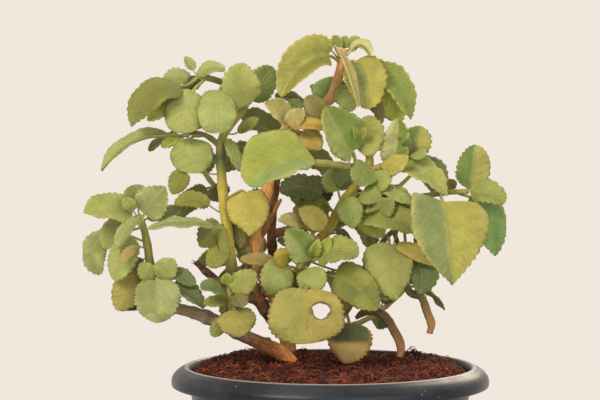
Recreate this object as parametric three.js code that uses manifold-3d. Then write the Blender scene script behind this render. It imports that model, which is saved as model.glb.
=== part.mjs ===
// A potted sage: a bushy, soft-leaved herb with round scalloped leaves, in a black nursery pot of coir.
// Millimetres, +Z up. The origin is the middle of the pot's flat base, and -Y is the front.
import * as THREE from "three";
import { mergeVertices } from "three/addons/utils/BufferGeometryUtils.js";
import Module from "manifold-3d";

const wasm = await Module();
wasm.setup();

// ---------------------------------------------------------------- driving dimensions

const RIM_RADIUS = 100; // outside of the rolled rim: an 8 inch pot
const POT_HEIGHT = 170;
const BASE_RADIUS = 70;
const LIP_RADIUS = 90; // the rim's inner edge, its highest line
const NECK_RADIUS = 87; // the wall just under the rim
const RIM_DROP = 12; // how far the rim's outer lip hangs below its inner edge
const WALL = 2;
const DRAIN_HOLES = 6;
const DRAIN_RADIUS = 5;
const DRAIN_CIRCLE = 46;
const POT_SIDES = 32;

const SOIL_LINE = POT_HEIGHT - 5; // the plant's heights are measured from here
const LEAF_HOLE = [[-6, 41, -60], [-6, 41, -25]]; // what an insect ate out of the big low leaf
const GAP = 0.35; // what separate solids keep between them

// The plant is laid out as it is seen from the front. A place is [across, up, behind]: where its line of
// sight crosses the plane of the pot's axis, and how far behind that plane it lies.
const EYE = new THREE.Vector3(-19, -1200, SOIL_LINE + 153);

function seen([across, up, behind]) {
  const spot = new THREE.Vector3(across, 0, SOIL_LINE + up).sub(EYE);
  return spot.multiplyScalar((behind - EYE.y) / -EYE.y).add(EYE);
}

// ---------------------------------------------------------------- the plant's layout

// Woody stems: places along each, then its radius at the root and at the far end.
const TRUNK = [
  [[-24, -32, 24], [-25, 8, 24], [-29, 30, 18], [-34, 46, 12], [-42, 60, 6], [-46, 76, 4], [-45, 92, 4],
    [-41, 110, 6], [-38, 124, 8]], 5.2, 3.6];
const FORK = [
  [[-27, 22, 22], [-31, 42, 20], [-35, 66, 18], [-37, 90, 16], [-35, 112, 16], [-34, 122, 16]], 3.6, 2.4];
const TWIG = [[[-40, 44, 12], [-50, 47, 4], [-62, 50, -2], [-71, 58, -4], [-85, 70, -6]], 3, 2.2];
const SPUR = [[[-45, 84, 5], [-40, 92, -1], [-36, 101, -2], [-31, 110, 0]], 1.8, 1.3];
const LOW_BRANCH = [
  [[-21, -34, 2], [-23, 0, 2], [-29, 11, -2], [-42, 18, -7], [-57, 25, -12], [-70, 32, -14], [-85, 38, -14],
    [-104, 42, -12], [-128, 42, -10]], 5.4, 3.2];

// Green stems: the leafy shoot each belongs to, places along it, its radius at the foot and at the tip.
const STEMS = [
  ["upper_left", [[-62, 38, -12], [-62, 65, -10], [-64, 82, -9], [-66, 100, -8], [-68, 120, -6],
    [-68, 148, -2], [-60, 160, 0], [-53, 170, 2], [-57, 178, 2], [-70, 184, 0], [-84, 188, -2]], 3.9, 1.8],
  ["upper_left", [[-68, 142, -3], [-78, 150, 2], [-91, 153, 2]], 2, 1.2],
  ["crown", [[-38, 124, 9], [-34, 140, 10], [-26, 156, 8], [-14, 163, 8], [-1, 172, 5], [4, 183, 3],
    [7, 194, 0], [8, 204, -2]], 3.6, 2.8],
  ["right", [[-32, 50, 20], [-20, 64, 22], [-10, 80, 20], [0, 93, 12], [8, 108, 8], [14, 116, 6],
    [24, 130, 4], [24, 140, 2], [19, 150, -3]], 3.8, 2.2],
  ["right", [[22, 127, 4], [8, 131, -10], [-9, 133, -26]], 2.2, 2],
  ["right", [[22, 127, 4], [36, 132, 3], [48, 138, 2]], 2.2, 1.6],
  ["far_right", [[-36, 88, 17], [-18, 92, 26], [8, 96, 26], [32, 104, 20], [56, 111, 8], [72, 114, 2],
    [87, 115, -2]], 3, 1.5],
  ["centre", [[-37, 51, 10], [-27, 57, 5], [-18, 68, 0], [-13, 80, -4], [-10, 93, -5]], 2.8, 1.2],
  ["left", [[-106, 43, -13], [-112, 60, -16], [-115, 80, -16], [-117, 90, -14], [-121, 100, -12]], 3.2, 2],
  ["low_front", [[-60, 27, -12], [-62, 38, -22], [-63, 47, -27], [-64, 57, -29]], 2.4, 1.2],
  ["low_right", [[-22, 24, 24], [4, 33, 27], [20, 58, 22], [31, 80, 12], [42, 91, 6], [52, 90, 2]], 2.8, 1.4],
  ["low_right", [[-8, 29, 26], [2, 29, 17], [12, 31, 8]], 1.8, 1.2],
  ["low_right", [[40, 90, 7], [45, 74, 12], [48, 58, 9]], 1.4, 1.1],
];

// Dry strap-like leaves: shoot, places along each, its width, and where its upper face looks.
const STRAPS = [
  ["low_right", [[16, 35, 12], [23, 39, 9], [32, 38, 5], [40, 28, 3], [45, 16, 2], [44, 10, 2]],
    6.5, [0.25, 0.9, 0.35]],
  ["low_right", [[46, 60, 9], [51, 51, 6], [57, 49, 4], [61, 40, 3], [64, 31, 2], [63, 25, 2]],
    6, [0.3, 0.9, 0.3]],
];

// Shoots at the back, placed by rule: name, places along the stem, the radius at the foot, how many pairs of
// leaves, the length of the lowest ones, and how far the first pair is turned in degrees.
const BACK_SHOOTS = [
  ["back_left", [[-44, 84, 10], [-60, 104, 34], [-80, 128, 54], [-90, 150, 60]], 2.6, 4, 36, 20],
  ["back_top", [[-36, 118, 17], [-26, 138, 34], [-12, 158, 46], [-4, 178, 50]], 2.6, 4, 36, 50],
  ["back_right", [[-34, 70, 19], [0, 90, 46], [34, 110, 58], [54, 128, 60]], 2.6, 4, 38, 30],
  ["back_low_left", [[-40, 50, 14], [-50, 56, 42], [-60, 64, 60], [-64, 78, 68]], 2.4, 4, 32, 10],
  ["back_low_right", [[-28, 30, 22], [16, 31, 50], [46, 52, 64], [62, 76, 66]], 2.4, 4, 34, 50],
];

// Leaf forms: how blunt the blade is at its base, how pointed at its tip, and how far its widest part lies
// toward the base.
const FORMS = {
  round: [0.75, 0.7, 0.02],
  oval: [0.85, 0.9, 0.1],
  broad: [0.55, 1.05, 0.16],
  ovate: [0.65, 1.35, 0.2],
  lance: [0.85, 1.3, 0.05],
  full: [0.45, 0.75, -0.04],
  drop: [2.4, 1, -0.1],
  wedge: [0.32, 2.2, 0.35],
};

// Leaves: shoot, then the midrib's base, middle and tip, the width, where the upper face looks as
// [right, out to the front, up], how far each half is folded up in degrees, and the form.
const LEAVES = [
  // the drooping head at the upper left
  ["upper_left", [-94, 181, -5], [-114, 177, -16], [-126, 152, -18], 31, [-0.3, 0.6, 0.7], -8, "ovate"],
  ["upper_left", [-88, 183, 5], [-96, 187, 2], [-106, 185, 2], 13, [0, 0.8, 0.6], 10, "oval"],
  ["upper_left", [-86, 191, 1], [-88, 195, 2], [-92, 200, 3], 7, [0, 1, 0.2], 20, "lance"],
  ["upper_left", [-82, 187, -4], [-75, 192, -6], [-65, 190, -8], 14, [0, 0.6, 0.7], 12, "oval"],
  ["upper_left", [-52, 170, -4], [-56, 182, -9], [-53, 197, -10], 26, [0, 1, 0], 12, "broad"],
  ["upper_left", [-49, 172, 6], [-43, 183, 10], [-35, 194, 12], 20, [0.4, 0.8, 0.2], 5, "oval"],
  ["upper_left", [-86, 178, -9], [-91, 164, -16], [-92, 150, -17], 26, [0, 1, 0.1], -5, "round"],
  ["upper_left", [-70, 178, -10], [-71, 164, -20], [-70, 150, -20], 25, [0.1, 1, 0.1], -5, "round"],
  ["upper_left", [-98, 173, -3], [-106, 167, -8], [-116, 158, -9], 15, [0, 0.9, 0.5], 8, "ovate"],
  ["upper_left", [-101, 150, -1], [-125, 145, -8], [-146, 125, -10], 18, [-0.1, 0.4, 1], 24, "lance"],
  ["upper_left", [-94, 149, 3], [-100, 147, 1], [-107, 142, 1], 9, [0, 0.9, 0.5], 0, "oval"],
  ["upper_left", [-87, 148, -5], [-87, 137, -9], [-87, 125, -8], 27, [0, 1, 0.1], -4, "round"],
  ["upper_left", [-92, 127, -6], [-96, 120, -9], [-100, 112, -9], 13, [0.1, 0.9, 0.3], 10, "ovate"],
  ["upper_left", [-65, 148, -6], [-60, 138, -8], [-56, 127, -8], 9, [0.3, 0.9, 0.2], 0, "oval"],
  ["upper_left", [-58, 152, 0], [-51, 157, -1], [-44, 161, -2], 8, [0, 0.9, 0.3], 15, "lance"],
  // halfway up the left stem
  ["upper_left", [-69, 94, -12], [-76, 87, -15], [-83, 79, -16], 18, [0, 0.9, 0.3], 20, "ovate"],
  ["upper_left", [-67, 79, -19], [-72, 73, -25], [-78, 67, -26], 14, [0, 1, 0.2], 12, "broad"],
  ["upper_left", [-69, 93, -17], [-67, 81, -22], [-65, 68, -22], 7, [0.2, 1, 0.1], 0, "lance"],
  ["upper_left", [-60, 98, -2], [-57, 88, -4], [-57, 78, -4], 10, [0.1, 1, 0.1], 0, "oval"],
  ["upper_left", [-60, 84, 0], [-55, 80, -1], [-50, 75, -2], 9, [0.1, 1, 0.2], 0, "oval"],
  ["upper_left", [-54, 114, -14], [-51, 99, -19], [-51, 85, -18], 26, [0.1, 1, 0], -6, "wedge"],
  ["upper_left", [-74, 93, -26], [-94, 95, -33], [-117, 90, -35], 20, [0, 0.3, 1], 4, "lance"],
  ["upper_left", [-76, 106, -8], [-87, 110, -12], [-99, 106, -14], 13, [0, 0.8, 0.5], 0, "oval"],
  // the big leaf at the middle
  ["right", [-9, 132, -26], [-32, 134, -38], [-54, 116, -42], 42, [-0.1, 0.8, 0.6], 30, "drop"],
  // the yellowed bunch under the crown
  ["crown", [-27, 159, 2], [-34, 166, -1], [-42, 171, -2], 17, [0.1, 0.8, 0.6], 24, "ovate"],
  ["crown", [-26, 157, -5], [-21, 162, -9], [-15, 166, -10], 12, [0, 1, 0.2], 10, "ovate"],
  ["crown", [-23, 155, -7], [-12, 157, -12], [-2, 153, -14], 12, [0.1, 0.7, 0.7], 12, "oval"],
  ["crown", [-17, 152, 1], [-11, 147, -7], [-5, 140, -8], 14, [0.1, 1, 0.2], 0, "ovate"],
  ["crown", [-5, 161, -1], [-10, 168, -5], [-16, 175, -6], 14, [-0.1, 1, 0.2], 6, "oval"],
  // the crown
  ["crown", [-1, 200, -9], [-18, 194, -17], [-32, 171, -22], 30, [-0.2, 0.96, 0.19], 46, "broad"],
  ["crown", [1, 203, -4], [-7, 208, -6], [-15, 207, -7], 13, [0, 0.7, 0.7], 12, "oval"],
  ["crown", [5, 205, 0], [4, 209, -1], [1, 213, -2], 8, [-0.2, 1, 0.2], 20, "lance"],
  ["crown", [8, 205, 2], [9, 209, 1], [10, 213, 1], 8, [0.1, 1, 0.1], 20, "lance"],
  ["crown", [12, 204, 1], [16, 208, -1], [20, 210, -2], 10, [0.1, 0.8, 0.5], 20, "oval"],
  ["crown", [13, 203, -5], [20, 207, -9], [26, 199, -11], 12, [0.2, 0.6, 0.8], 14, "oval"],
  ["crown", [3, 206, -13], [12, 189, -24], [18, 165, -27], 11, [0.8, 0.55, 0.1], 20, "lance"],
  ["crown", [16, 196, -6], [22, 185, -13], [23, 164, -15], 28, [0.2, 0.95, 0.2], 14, "oval"],
  ["crown", [28, 192, 1], [43, 181, -4], [51, 157, -6], 21, [0.35, 0.85, 0.4], 10, "ovate"],
  ["crown", [16, 192, 6], [32, 178, 8], [46, 155, 8], 29, [0.1, 1, 0.1], 0, "ovate"],
  ["crown", [24, 182, -2], [29, 169, -4], [33, 156, -5], 9, [0.2, 1, 0.1], 0, "lance"],
  ["crown", [0, 171, 10], [1, 179, 12], [2, 188, 13], 25, [0, 1, 0.1], 8, "broad"],
  ["crown", [-18, 167, 10], [-22, 170, 12], [-27, 171, 12], 7, [0, 0.9, 0.3], 0, "oval"],
  ["crown", [4, 180, 0], [10, 173, -2], [14, 164, -2], 13, [0, 1, 0.1], 0, "oval"],
  // the shoot in the middle of the right half
  ["right", [14, 140, -6], [5, 154, -14], [-4, 170, -16], 29, [0.1, 0.9, 0.4], 28, "ovate"],
  ["right", [17, 142, -1], [23, 152, -7], [24, 164, -9], 24, [0.1, 0.9, 0.3], 14, "broad"],
  ["right", [17, 148, -8], [16, 152, -12], [15, 156, -14], 6, [0.3, 0.9, 0.2], 20, "ovate"],
  ["right", [20, 148, -8], [21, 152, -13], [22, 156, -15], 6, [-0.3, 0.9, 0.2], 20, "ovate"],
  ["right", [13, 138, -8], [7, 140, -12], [-1, 141, -14], 14, [0, 0.9, 0.5], 10, "broad"],
  // its neighbour to the right
  ["right", [38, 131, 0], [42, 147, -5], [42, 163, -6], 20, [-0.1, 1, 0.1], 32, "ovate"],
  ["right", [48, 140, -2], [54, 148, -7], [57, 157, -9], 22, [0.1, 1, 0.2], 18, "broad"],
  ["right", [47, 142, -6], [49, 145, -11], [51, 149, -12], 7, [0, 1, 0.2], 20, "ovate"],
  ["right", [52, 139, -4], [56, 139, -12], [61, 138, -14], 11, [0, 0.9, 0.4], 0, "oval"],
  ["right", [33, 128, -8], [42, 132, -15], [50, 138, -17], 13, [0, 1, 0.3], 16, "ovate"],
  ["right", [52, 134, -1], [57, 131, -3], [62, 126, -4], 12, [0.2, 1, 0.2], 0, "oval"],
  ["right", [42, 130, -4], [60, 125, -11], [75, 110, -13], 21, [0.1, 0.7, 0.7], 26, "ovate"],
  ["right", [54, 131, 2], [65, 129, 0], [73, 119, -1], 16, [0.1, 0.9, 0.4], 0, "oval"],
  // the end of the right branch
  ["far_right", [87, 117, -2], [90, 130, -6], [91, 146, -7], 22, [0, 1, 0.1], 14, "oval"],
  ["far_right", [89, 112, -6], [99, 114, -12], [111, 106, -14], 19, [0.1, 0.8, 0.5], 14, "oval"],
  ["far_right", [71, 108, -24], [74, 84, -38], [77, 52, -40], 49, [0.25, 0.95, 0.2], 22, "wedge"],
  ["far_right", [88, 111, 4], [100, 96, 0], [104, 71, -2], 24, [0.1, 1, 0.1], -4, "ovate"],
  ["far_right", [73, 117, 10], [76, 119, 10], [80, 121, 9], 8, [0, 1, 0], 0, "oval"],
  // under the right shoots
  ["right", [14, 120, 10], [9, 125, 10], [3, 128, 10], 18, [0, 1, 0.1], 0, "oval"],
  ["right", [29, 120, -6], [41, 113, -13], [53, 106, -17], 9, [0.1, 0.9, 0.4], 8, "lance"],
  ["right", [38, 109, 0], [43, 104, -6], [48, 97, -7], 22, [0, 1, 0.1], 0, "broad"],
  ["right", [20, 105, -2], [28, 108, -6], [38, 107, -7], 16, [0, 0.8, 0.6], 8, "broad"],
  ["right", [22, 98, -4], [39, 98, -14], [57, 87, -16], 24, [0, 0.8, 0.6], 22, "ovate"],
  ["right", [18, 96, 8], [27, 92, 4], [35, 86, 3], 14, [0, 1, 0.2], 0, "oval"],
  ["right", [20, 114, -4], [26, 113, -10], [33, 110, -11], 16, [0, 0.9, 0.4], 0, "broad"],
  ["right", [10, 110, -6], [13, 101, -11], [14, 90, -11], 17, [0.1, 1, 0], 0, "ovate"],
  ["right", [5, 115, 14], [4, 122, 19], [4, 131, 20], 20, [0, 1, -0.2], -8, "oval"],
  ["right", [-6, 112, 10], [-19, 118, 7], [-33, 113, 5], 20, [0, 0.8, 0.6], 0, "oval"],
  ["right", [-4, 106, 21], [-10, 115, 26], [-17, 124, 28], 23, [0, 1, 0.1], 0, "oval"],
  // the left-hand bunch
  ["left", [-125, 99, -14], [-141, 103, -20], [-157, 101, -22], 24, [0, 0.75, 0.65], 26, "ovate"],
  ["left", [-121, 105, -4], [-122, 111, -5], [-124, 120, -5], 17, [0, 1, 0.3], 0, "round"],
  ["left", [-124, 103, -17], [-127, 107, -20], [-131, 111, -21], 9, [0, 1, 0.2], 15, "ovate"],
  ["left", [-117, 101, -14], [-111, 109, -18], [-103, 119, -20], 22, [0.2, 0.9, 0.4], 14, "ovate"],
  ["left", [-115, 98, -8], [-104, 102, -8], [-92, 104, -7], 16, [0, 0.6, 0.8], 0, "oval"],
  ["left", [-127, 86, -19], [-131, 73, -28], [-137, 57, -28], 19, [-0.2, 1, 0.1], -6, "oval"],
  ["left", [-127, 96, -9], [-137, 89, -11], [-141, 77, -12], 16, [-0.1, 1, 0.2], 0, "oval"],
  ["left", [-141, 88, 3], [-149, 76, 1], [-143, 61, -1], 17, [-0.2, 1, 0.1], 0, "oval"],
  ["left", [-122, 80, -28], [-128, 75, -36], [-131, 68, -38], 8, [0, 1, 0.2], -10, "oval"],
  ["left", [-118, 72, -10], [-123, 66, -11], [-126, 59, -11], 12, [0, 1, 0.1], 0, "oval"],
  ["left", [-118, 60, -18], [-127, 52, -22], [-135, 38, -23], 22, [-0.1, 1, 0.1], -5, "broad"],
  ["left", [-111, 60, -23], [-116, 65, -27], [-119, 71, -28], 12, [0, 1, 0.2], 0, "broad"],
  ["left", [-108, 60, -24], [-103, 66, -28], [-98, 73, -30], 15, [0.1, 1, 0.1], 0, "broad"],
  ["left", [-109, 59, -30], [-109, 45, -38], [-109, 30, -38], 29, [0, 1, 0.15], -4, "broad"],
  ["left", [-99, 66, -22], [-92, 61, -25], [-84, 55, -26], 11, [0.2, 0.8, 0.5], 0, "oval"],
  ["left", [-98, 57, -22], [-89, 51, -25], [-78, 40, -26], 15, [0.2, 0.6, 0.7], 16, "oval"],
  // the low shoot in front
  ["low_front", [-65, 56, -31], [-65, 60, -33], [-65, 64, -34], 8, [0, 1, 0.1], 15, "ovate"],
  ["low_front", [-61, 52, -31], [-54, 58, -34], [-46, 65, -35], 16, [0.2, 0.9, 0.3], 10, "broad"],
  ["low_front", [-67, 50, -32], [-74, 54, -37], [-83, 54, -39], 15, [0, 0.6, 0.8], 16, "oval"],
  ["low_front", [-65, 44, -26], [-72, 46, -28], [-81, 43, -29], 10, [0, 0.7, 0.7], 0, "oval"],
  ["low_front", [-60, 40, -33], [-59, 32, -40], [-58, 22, -40], 24, [0, 1, 0.1], -4, "broad"],
  ["low_front", [-60, 49, -33], [-57, 46, -39], [-55, 41, -41], 12, [0, 0.9, 0.4], 0, "oval"],
  ["low_front", [-66, 35, -24], [-71, 29, -28], [-74, 22, -29], 10, [-0.2, 1, 0.1], -10, "oval"],
  // the middle shoot
  ["centre", [-30, 69, -6], [-45, 72, -11], [-58, 71, -15], 11, [0, 0.8, 0.6], 0, "oval"],
  ["centre", [-26, 67, -10], [-34, 60, -19], [-38, 49, -20], 22, [0, 1, 0.2], 0, "broad"],
  ["centre", [-24, 80, 2], [-29, 83, 0], [-34, 84, -1], 7, [0, 0.8, 0.6], 10, "oval"],
  ["centre", [-18, 65, 0], [-21, 59, -2], [-24, 52, -3], 8, [-0.3, 1, 0], 0, "oval"],
  ["centre", [-14, 66, -15], [-11, 58, -23], [-9, 50, -25], 19, [0, 1, 0.15], 0, "broad"],
  ["centre", [-13, 72, -11], [-20, 82, -17], [-29, 92, -19], 20, [-0.1, 1, 0.2], 14, "ovate"],
  ["centre", [-11, 74, -14], [-9, 79, -20], [-7, 86, -21], 8, [0.1, 1, 0.1], 15, "ovate"],
  ["centre", [-8, 74, -14], [-3, 80, -19], [0, 87, -20], 9, [-0.1, 1, 0.1], 15, "ovate"],
  ["centre", [-7, 73, -14], [6, 78, -24], [19, 73, -27], 21, [0, 0.8, 0.6], 8, "broad"],
  ["centre", [-17, 93, -5], [-25, 97, -9], [-34, 96, -11], 10, [0, 0.9, 0.4], 0, "ovate"],
  ["centre", [-4, 92, -6], [-12, 99, -10], [-21, 104, -12], 15, [0, 1, 0.3], 8, "ovate"],
  ["centre", [-15, 53, -33], [-15, 35, -43], [-14, 17, -43], 47, [0, 1, 0.1], 3, "full"],
  ["centre", [3, 61, -16], [17, 54, -24], [31, 38, -25], 25, [0.1, 1, 0.2], 6, "broad"],
  ["centre", [17, 63, -3], [28, 58, -6], [37, 44, -8], 17, [0.2, 0.9, 0.4], -5, "oval"],
  // the low right shoot
  ["low_right", [37, 82, -8], [37, 65, -19], [43, 45, -19], 31, [0, 1, 0.1], -4, "ovate"],
  ["low_right", [50, 77, -6], [58, 64, -13], [55, 48, -14], 23, [0.2, 1, 0.2], 8, "ovate"],
  ["low_right", [54, 88, 6], [60, 82, 5], [67, 73, 5], 12, [0.2, 1, 0.1], 0, "oval"],
  ["low_right", [13, 31, 2], [12, 19, -8], [9, 5, -8], 28, [0, 0.9, 0.3], 0, "broad"],
  // leaves that fill the gaps between them
  ["upper_left", [-81, 185, 2], [-87, 182, 2], [-93, 178, 3], 11, [0, 0.8, 0.5], 10, "oval"],
  ["low_right", [42, 81, -9], [54, 76, -14], [66, 67, -16], 12, [0.1, 0.8, 0.6], 8, "lance"],
  ["centre", [-27, 69, -12], [-30, 74, -19], [-31, 80, -20], 12, [0, 1, 0.2], 6, "broad"],
  ["right", [0, 103, 14], [-12, 104, 17], [-25, 102, 17], 14, [0, 1, 0.1], 0, "oval"],
  ["right", [25, 130, -2], [21, 125, -9], [18, 117, -11], 19, [0, 1, 0.2], 10, "broad"],
  ["right", [30, 106, -2], [41, 109, -8], [54, 102, -12], 20, [0, 1, 0.3], 14, "ovate"],
  ["left", [-121, 98, -22], [-130, 89, -30], [-135, 77, -32], 9, [-0.2, 1, 0.1], 10, "lance"],
  ["upper_left", [-62, 140, 2], [-55, 134, 0], [-50, 124, -1], 14, [0.1, 1, 0.1], 0, "oval"],
  ["right", [28, 118, -6], [33, 122, -12], [40, 124, -14], 14, [0, 1, 0.3], 10, "broad"],
  ["right", [30, 100, -8], [35, 105, -14], [41, 110, -16], 14, [0, 1, 0.2], 10, "ovate"],
];

// ---------------------------------------------------------------- materials

const finish = (color, roughness, metalness = 0) =>
  new THREE.MeshStandardMaterial({ color, roughness, metalness });
const POT_PLASTIC = finish(0x23262b, 0.35);
const COIR = finish(0x4a2318, 0.95);
const BARK = finish(0x8a5a38, 0.85);
const OLD_BARK = finish(0x6b5140, 0.9);
const LEAF = finish(0x93a552, 0.6);

// ---------------------------------------------------------------- solids

function solid(geometry) {
  const bare = geometry.index ? geometry.toNonIndexed() : geometry.clone();
  bare.deleteAttribute("normal");
  bare.deleteAttribute("uv");
  const merged = mergeVertices(bare, 1e-4);
  return new wasm.Manifold(
    new wasm.Mesh({
      numProp: 3,
      vertProperties: merged.attributes.position.array,
      triVerts: new Uint32Array(merged.index.array),
    }),
  );
}

function geometryOf(made) {
  const { numProp, numVert, vertProperties, triVerts } = made.getMesh();
  const position = new Float32Array(numVert * 3);
  for (let i = 0; i < numVert; i++) {
    position.set(vertProperties.subarray(i * numProp, i * numProp + 3), i * 3);
  }
  const geometry = new THREE.BufferGeometry();
  geometry.setAttribute("position", new THREE.BufferAttribute(position, 3));
  geometry.setIndex(new THREE.BufferAttribute(triVerts, 1));
  geometry.computeVertexNormals();
  return geometry;
}

// The largest single body of a solid: what a cut leaves loose is dropped.
function wholePiece(made) {
  const bodies = made.decompose();
  return bodies.reduce((a, b) => (a.volume() > b.volume() ? a : b));
}

function closedGeometry(points, triangles) {
  const geometry = new THREE.BufferGeometry();
  geometry.setFromPoints(points);
  geometry.setIndex(triangles.flat());
  return geometry;
}

const smooth = (points) => new THREE.CatmullRomCurve3(points, false, "centripetal");

// A round tube along a smooth curve through the points, from one radius to another.
function taperedTube(points, radii, sides, steps) {
  const curve = smooth(points);
  const frames = curve.computeFrenetFrames(steps, false);
  const rings = [];
  for (let i = 0; i <= steps; i++) {
    const middle = curve.getPointAt(i / steps);
    const radius = THREE.MathUtils.lerp(radii[0], radii[1], i / steps);
    for (let k = 0; k < sides; k++) {
      const turn = (2 * Math.PI * k) / sides;
      rings.push(
        middle
          .clone()
          .addScaledVector(frames.normals[i], radius * Math.cos(turn))
          .addScaledVector(frames.binormals[i], radius * Math.sin(turn)),
      );
    }
  }
  const triangles = [];
  const at = (i, k) => i * sides + (k % sides);
  for (let i = 0; i < steps; i++) {
    for (let k = 0; k < sides; k++) {
      triangles.push([at(i, k), at(i, k + 1), at(i + 1, k + 1)]);
      triangles.push([at(i, k), at(i + 1, k + 1), at(i + 1, k)]);
    }
  }
  for (let k = 1; k < sides - 1; k++) {
    triangles.push([at(0, 0), at(0, k + 1), at(0, k)]);
    triangles.push([at(steps, 0), at(steps, k), at(steps, k + 1)]);
  }
  return solid(closedGeometry(rings, triangles));
}

// ---------------------------------------------------------------- pot

function potProfile() {
  const top = POT_HEIGHT;
  const inner = [
    [0, WALL + 1],
    [BASE_RADIUS - WALL - 2, WALL + 1],
    [BASE_RADIUS - WALL, WALL + 3],
    [NECK_RADIUS - WALL, top - RIM_DROP],
    [LIP_RADIUS - 2, top - 3],
    [LIP_RADIUS, top],
  ];
  const rim = [
    [LIP_RADIUS + 2.5, top - 0.4],
    [LIP_RADIUS + 6, top - 2.2],
    [RIM_RADIUS - 1.2, top - 5.5],
    [RIM_RADIUS, top - 9],
    [RIM_RADIUS - 0.4, top - RIM_DROP],
    [RIM_RADIUS - 2.4, top - RIM_DROP],
    [RIM_RADIUS - 3.4, top - 7.5],
    [LIP_RADIUS + 1, top - 4],
  ];
  const outer = [
    [NECK_RADIUS, top - RIM_DROP - 2],
    [BASE_RADIUS, 2],
    [BASE_RADIUS - 2, 0],
    [0, 0],
  ];
  return [...inner, ...rim, ...outer].map(([r, z]) => new THREE.Vector2(r, z));
}

// Turned about the pot's axis, which LatheGeometry has as Y.
function turned(profile, sides) {
  return solid(
    new THREE.LatheGeometry(profile, sides).rotateX(Math.PI / 2),
  );
}

function pot() {
  let made = turned(potProfile().reverse(), POT_SIDES);
  for (let i = 0; i < DRAIN_HOLES; i++) {
    const turn = (2 * Math.PI * i) / DRAIN_HOLES;
    const hole = new THREE.CylinderGeometry(DRAIN_RADIUS, DRAIN_RADIUS, 20, 8)
      .rotateX(Math.PI / 2)
      .translate(DRAIN_CIRCLE * Math.cos(turn), DRAIN_CIRCLE * Math.sin(turn), 0);
    made = made.subtract(solid(hole));
  }
  return made;
}

// ---------------------------------------------------------------- leaves

const BLADE = 1; // a blade's thickness
const LONG_STALK = 20; // a petiole that is longer sags
const PETIOLE = [1.1, 0.9]; // half a petiole's width, where it leaves the stem and where it meets the blade

// From each length on: how many scallops a half has, and where along its rib a blade bends.
const DETAIL = [
  [0, 1, []],
  [19, 2, [0.5]],
  [38, 3, [0.33, 0.67]],
];

// Half of a blade's outline from its base to its tip, as [along, out], with a scalloped margin. Both run
// from 0 to 1.
function margin(form, teeth) {
  const [blunt, pointed, low] = FORMS[form];
  const steps = 2 * teeth + 1;
  const line = [];
  for (let i = 1; i < steps; i++) {
    const turn = (Math.PI * i) / steps;
    const tooth = i % 2 ? 1.04 : 0.9;
    const along = (1 - Math.cos(turn)) / 2;
    const power = THREE.MathUtils.lerp(blunt, pointed, along);
    line.push([along, Math.sin(turn) ** power * (1 + low * Math.cos(turn)) * tooth]);
  }
  return line;
}

// A leaf in space: its midrib's three places, and its upper face's outward direction.
function leafOf([shoot, base, middle, tip, width, [right, front, up], fold, form]) {
  const rib = [base, middle, tip].map(seen);
  return { shoot, rib, width, face: new THREE.Vector3(right, -front, up), fold, form };
}

// Opposite pairs of leaves up a back shoot, each pair crosswise to the one below and a little smaller.
function backLeaves([name, places, , pairs, size, first]) {
  const curve = smooth(places.map(seen));
  const made = [];
  for (let i = 0; i < pairs; i++) {
    const spot = curve.getPointAt(0.4 + (0.6 * i) / (pairs - 1));
    const way = curve.getTangentAt(0.4 + (0.6 * i) / (pairs - 1));
    const level = new THREE.Vector3(way.y, -way.x, 0).normalize();
    for (const hand of [0, 180]) {
      const turn = THREE.MathUtils.degToRad(first + 95 * i + hand);
      const out = level.clone().applyAxisAngle(way, turn);
      const room = out.y < -0.4 ? 0.6 : 1; // less where they grow into the bush
      const length = size * room * (1 - (0.5 * i) / pairs) * (hand ? 1 : 0.88);
      const at = (along, rise) =>
        spot.clone().addScaledVector(out, 7 + along * length).add(new THREE.Vector3(0, 0, rise * length));
      const rib = [at(0, 0.1), at(0.5, 0.16), at(0.95, -0.02)];
      const face = way.clone().addScaledVector(out, 0.25).add(new THREE.Vector3(0, 0.3, 0.4));
      made.push({ shoot: name, rib, width: 0.8 * length, face, fold: 4, form: "oval" });
    }
  }
  return made;
}

const leaves = [...LEAVES.map(leafOf), ...BACK_SHOOTS.flatMap(backLeaves)];

// The blade's own directions at a place on its midrib: along it, out of its upper face, and to its side.
function bladeAt({ rib: [base, middle, tip], face: up }, along) {
  const control = middle.clone().multiplyScalar(2).addScaledVector(base, -0.5).addScaledVector(tip, -0.5);
  const curve = new THREE.QuadraticBezierCurve3(base, control, tip);
  const way = curve.getTangent(along);
  const face = up.clone().addScaledVector(way, -up.dot(way)).normalize();
  return { on: curve.getPoint(along), face, side: way.clone().cross(face) };
}

function bladeSpot(leaf, along, out) {
  const { on, face, side } = bladeAt(leaf, along);
  const turn = THREE.MathUtils.degToRad(leaf.fold);
  on.addScaledVector(side, (out * leaf.width * Math.cos(turn)) / 2);
  on.addScaledVector(face, (Math.abs(out) * leaf.width * Math.sin(turn)) / 2);
  return { point: on, lift: face.clone().multiplyScalar(BLADE / 2) };
}

// A petiole starts where its shoot's stems come nearest to the leaf's base, or one to four steps lower, so
// that neighbouring petioles don't share a joint.
function jointOf(leaf, stems) {
  const [base] = leaf.rib;
  let joint = null;
  let nearest = Infinity;
  for (const spots of stems) {
    spots.forEach((spot, i) => {
      const away = spot.distanceTo(base);
      if (away >= nearest) return;
      nearest = away;
      joint = spots[Math.max(i - 1 - (leaves.indexOf(leaf) % 4), 0)];
    });
  }
  return joint;
}

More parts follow.
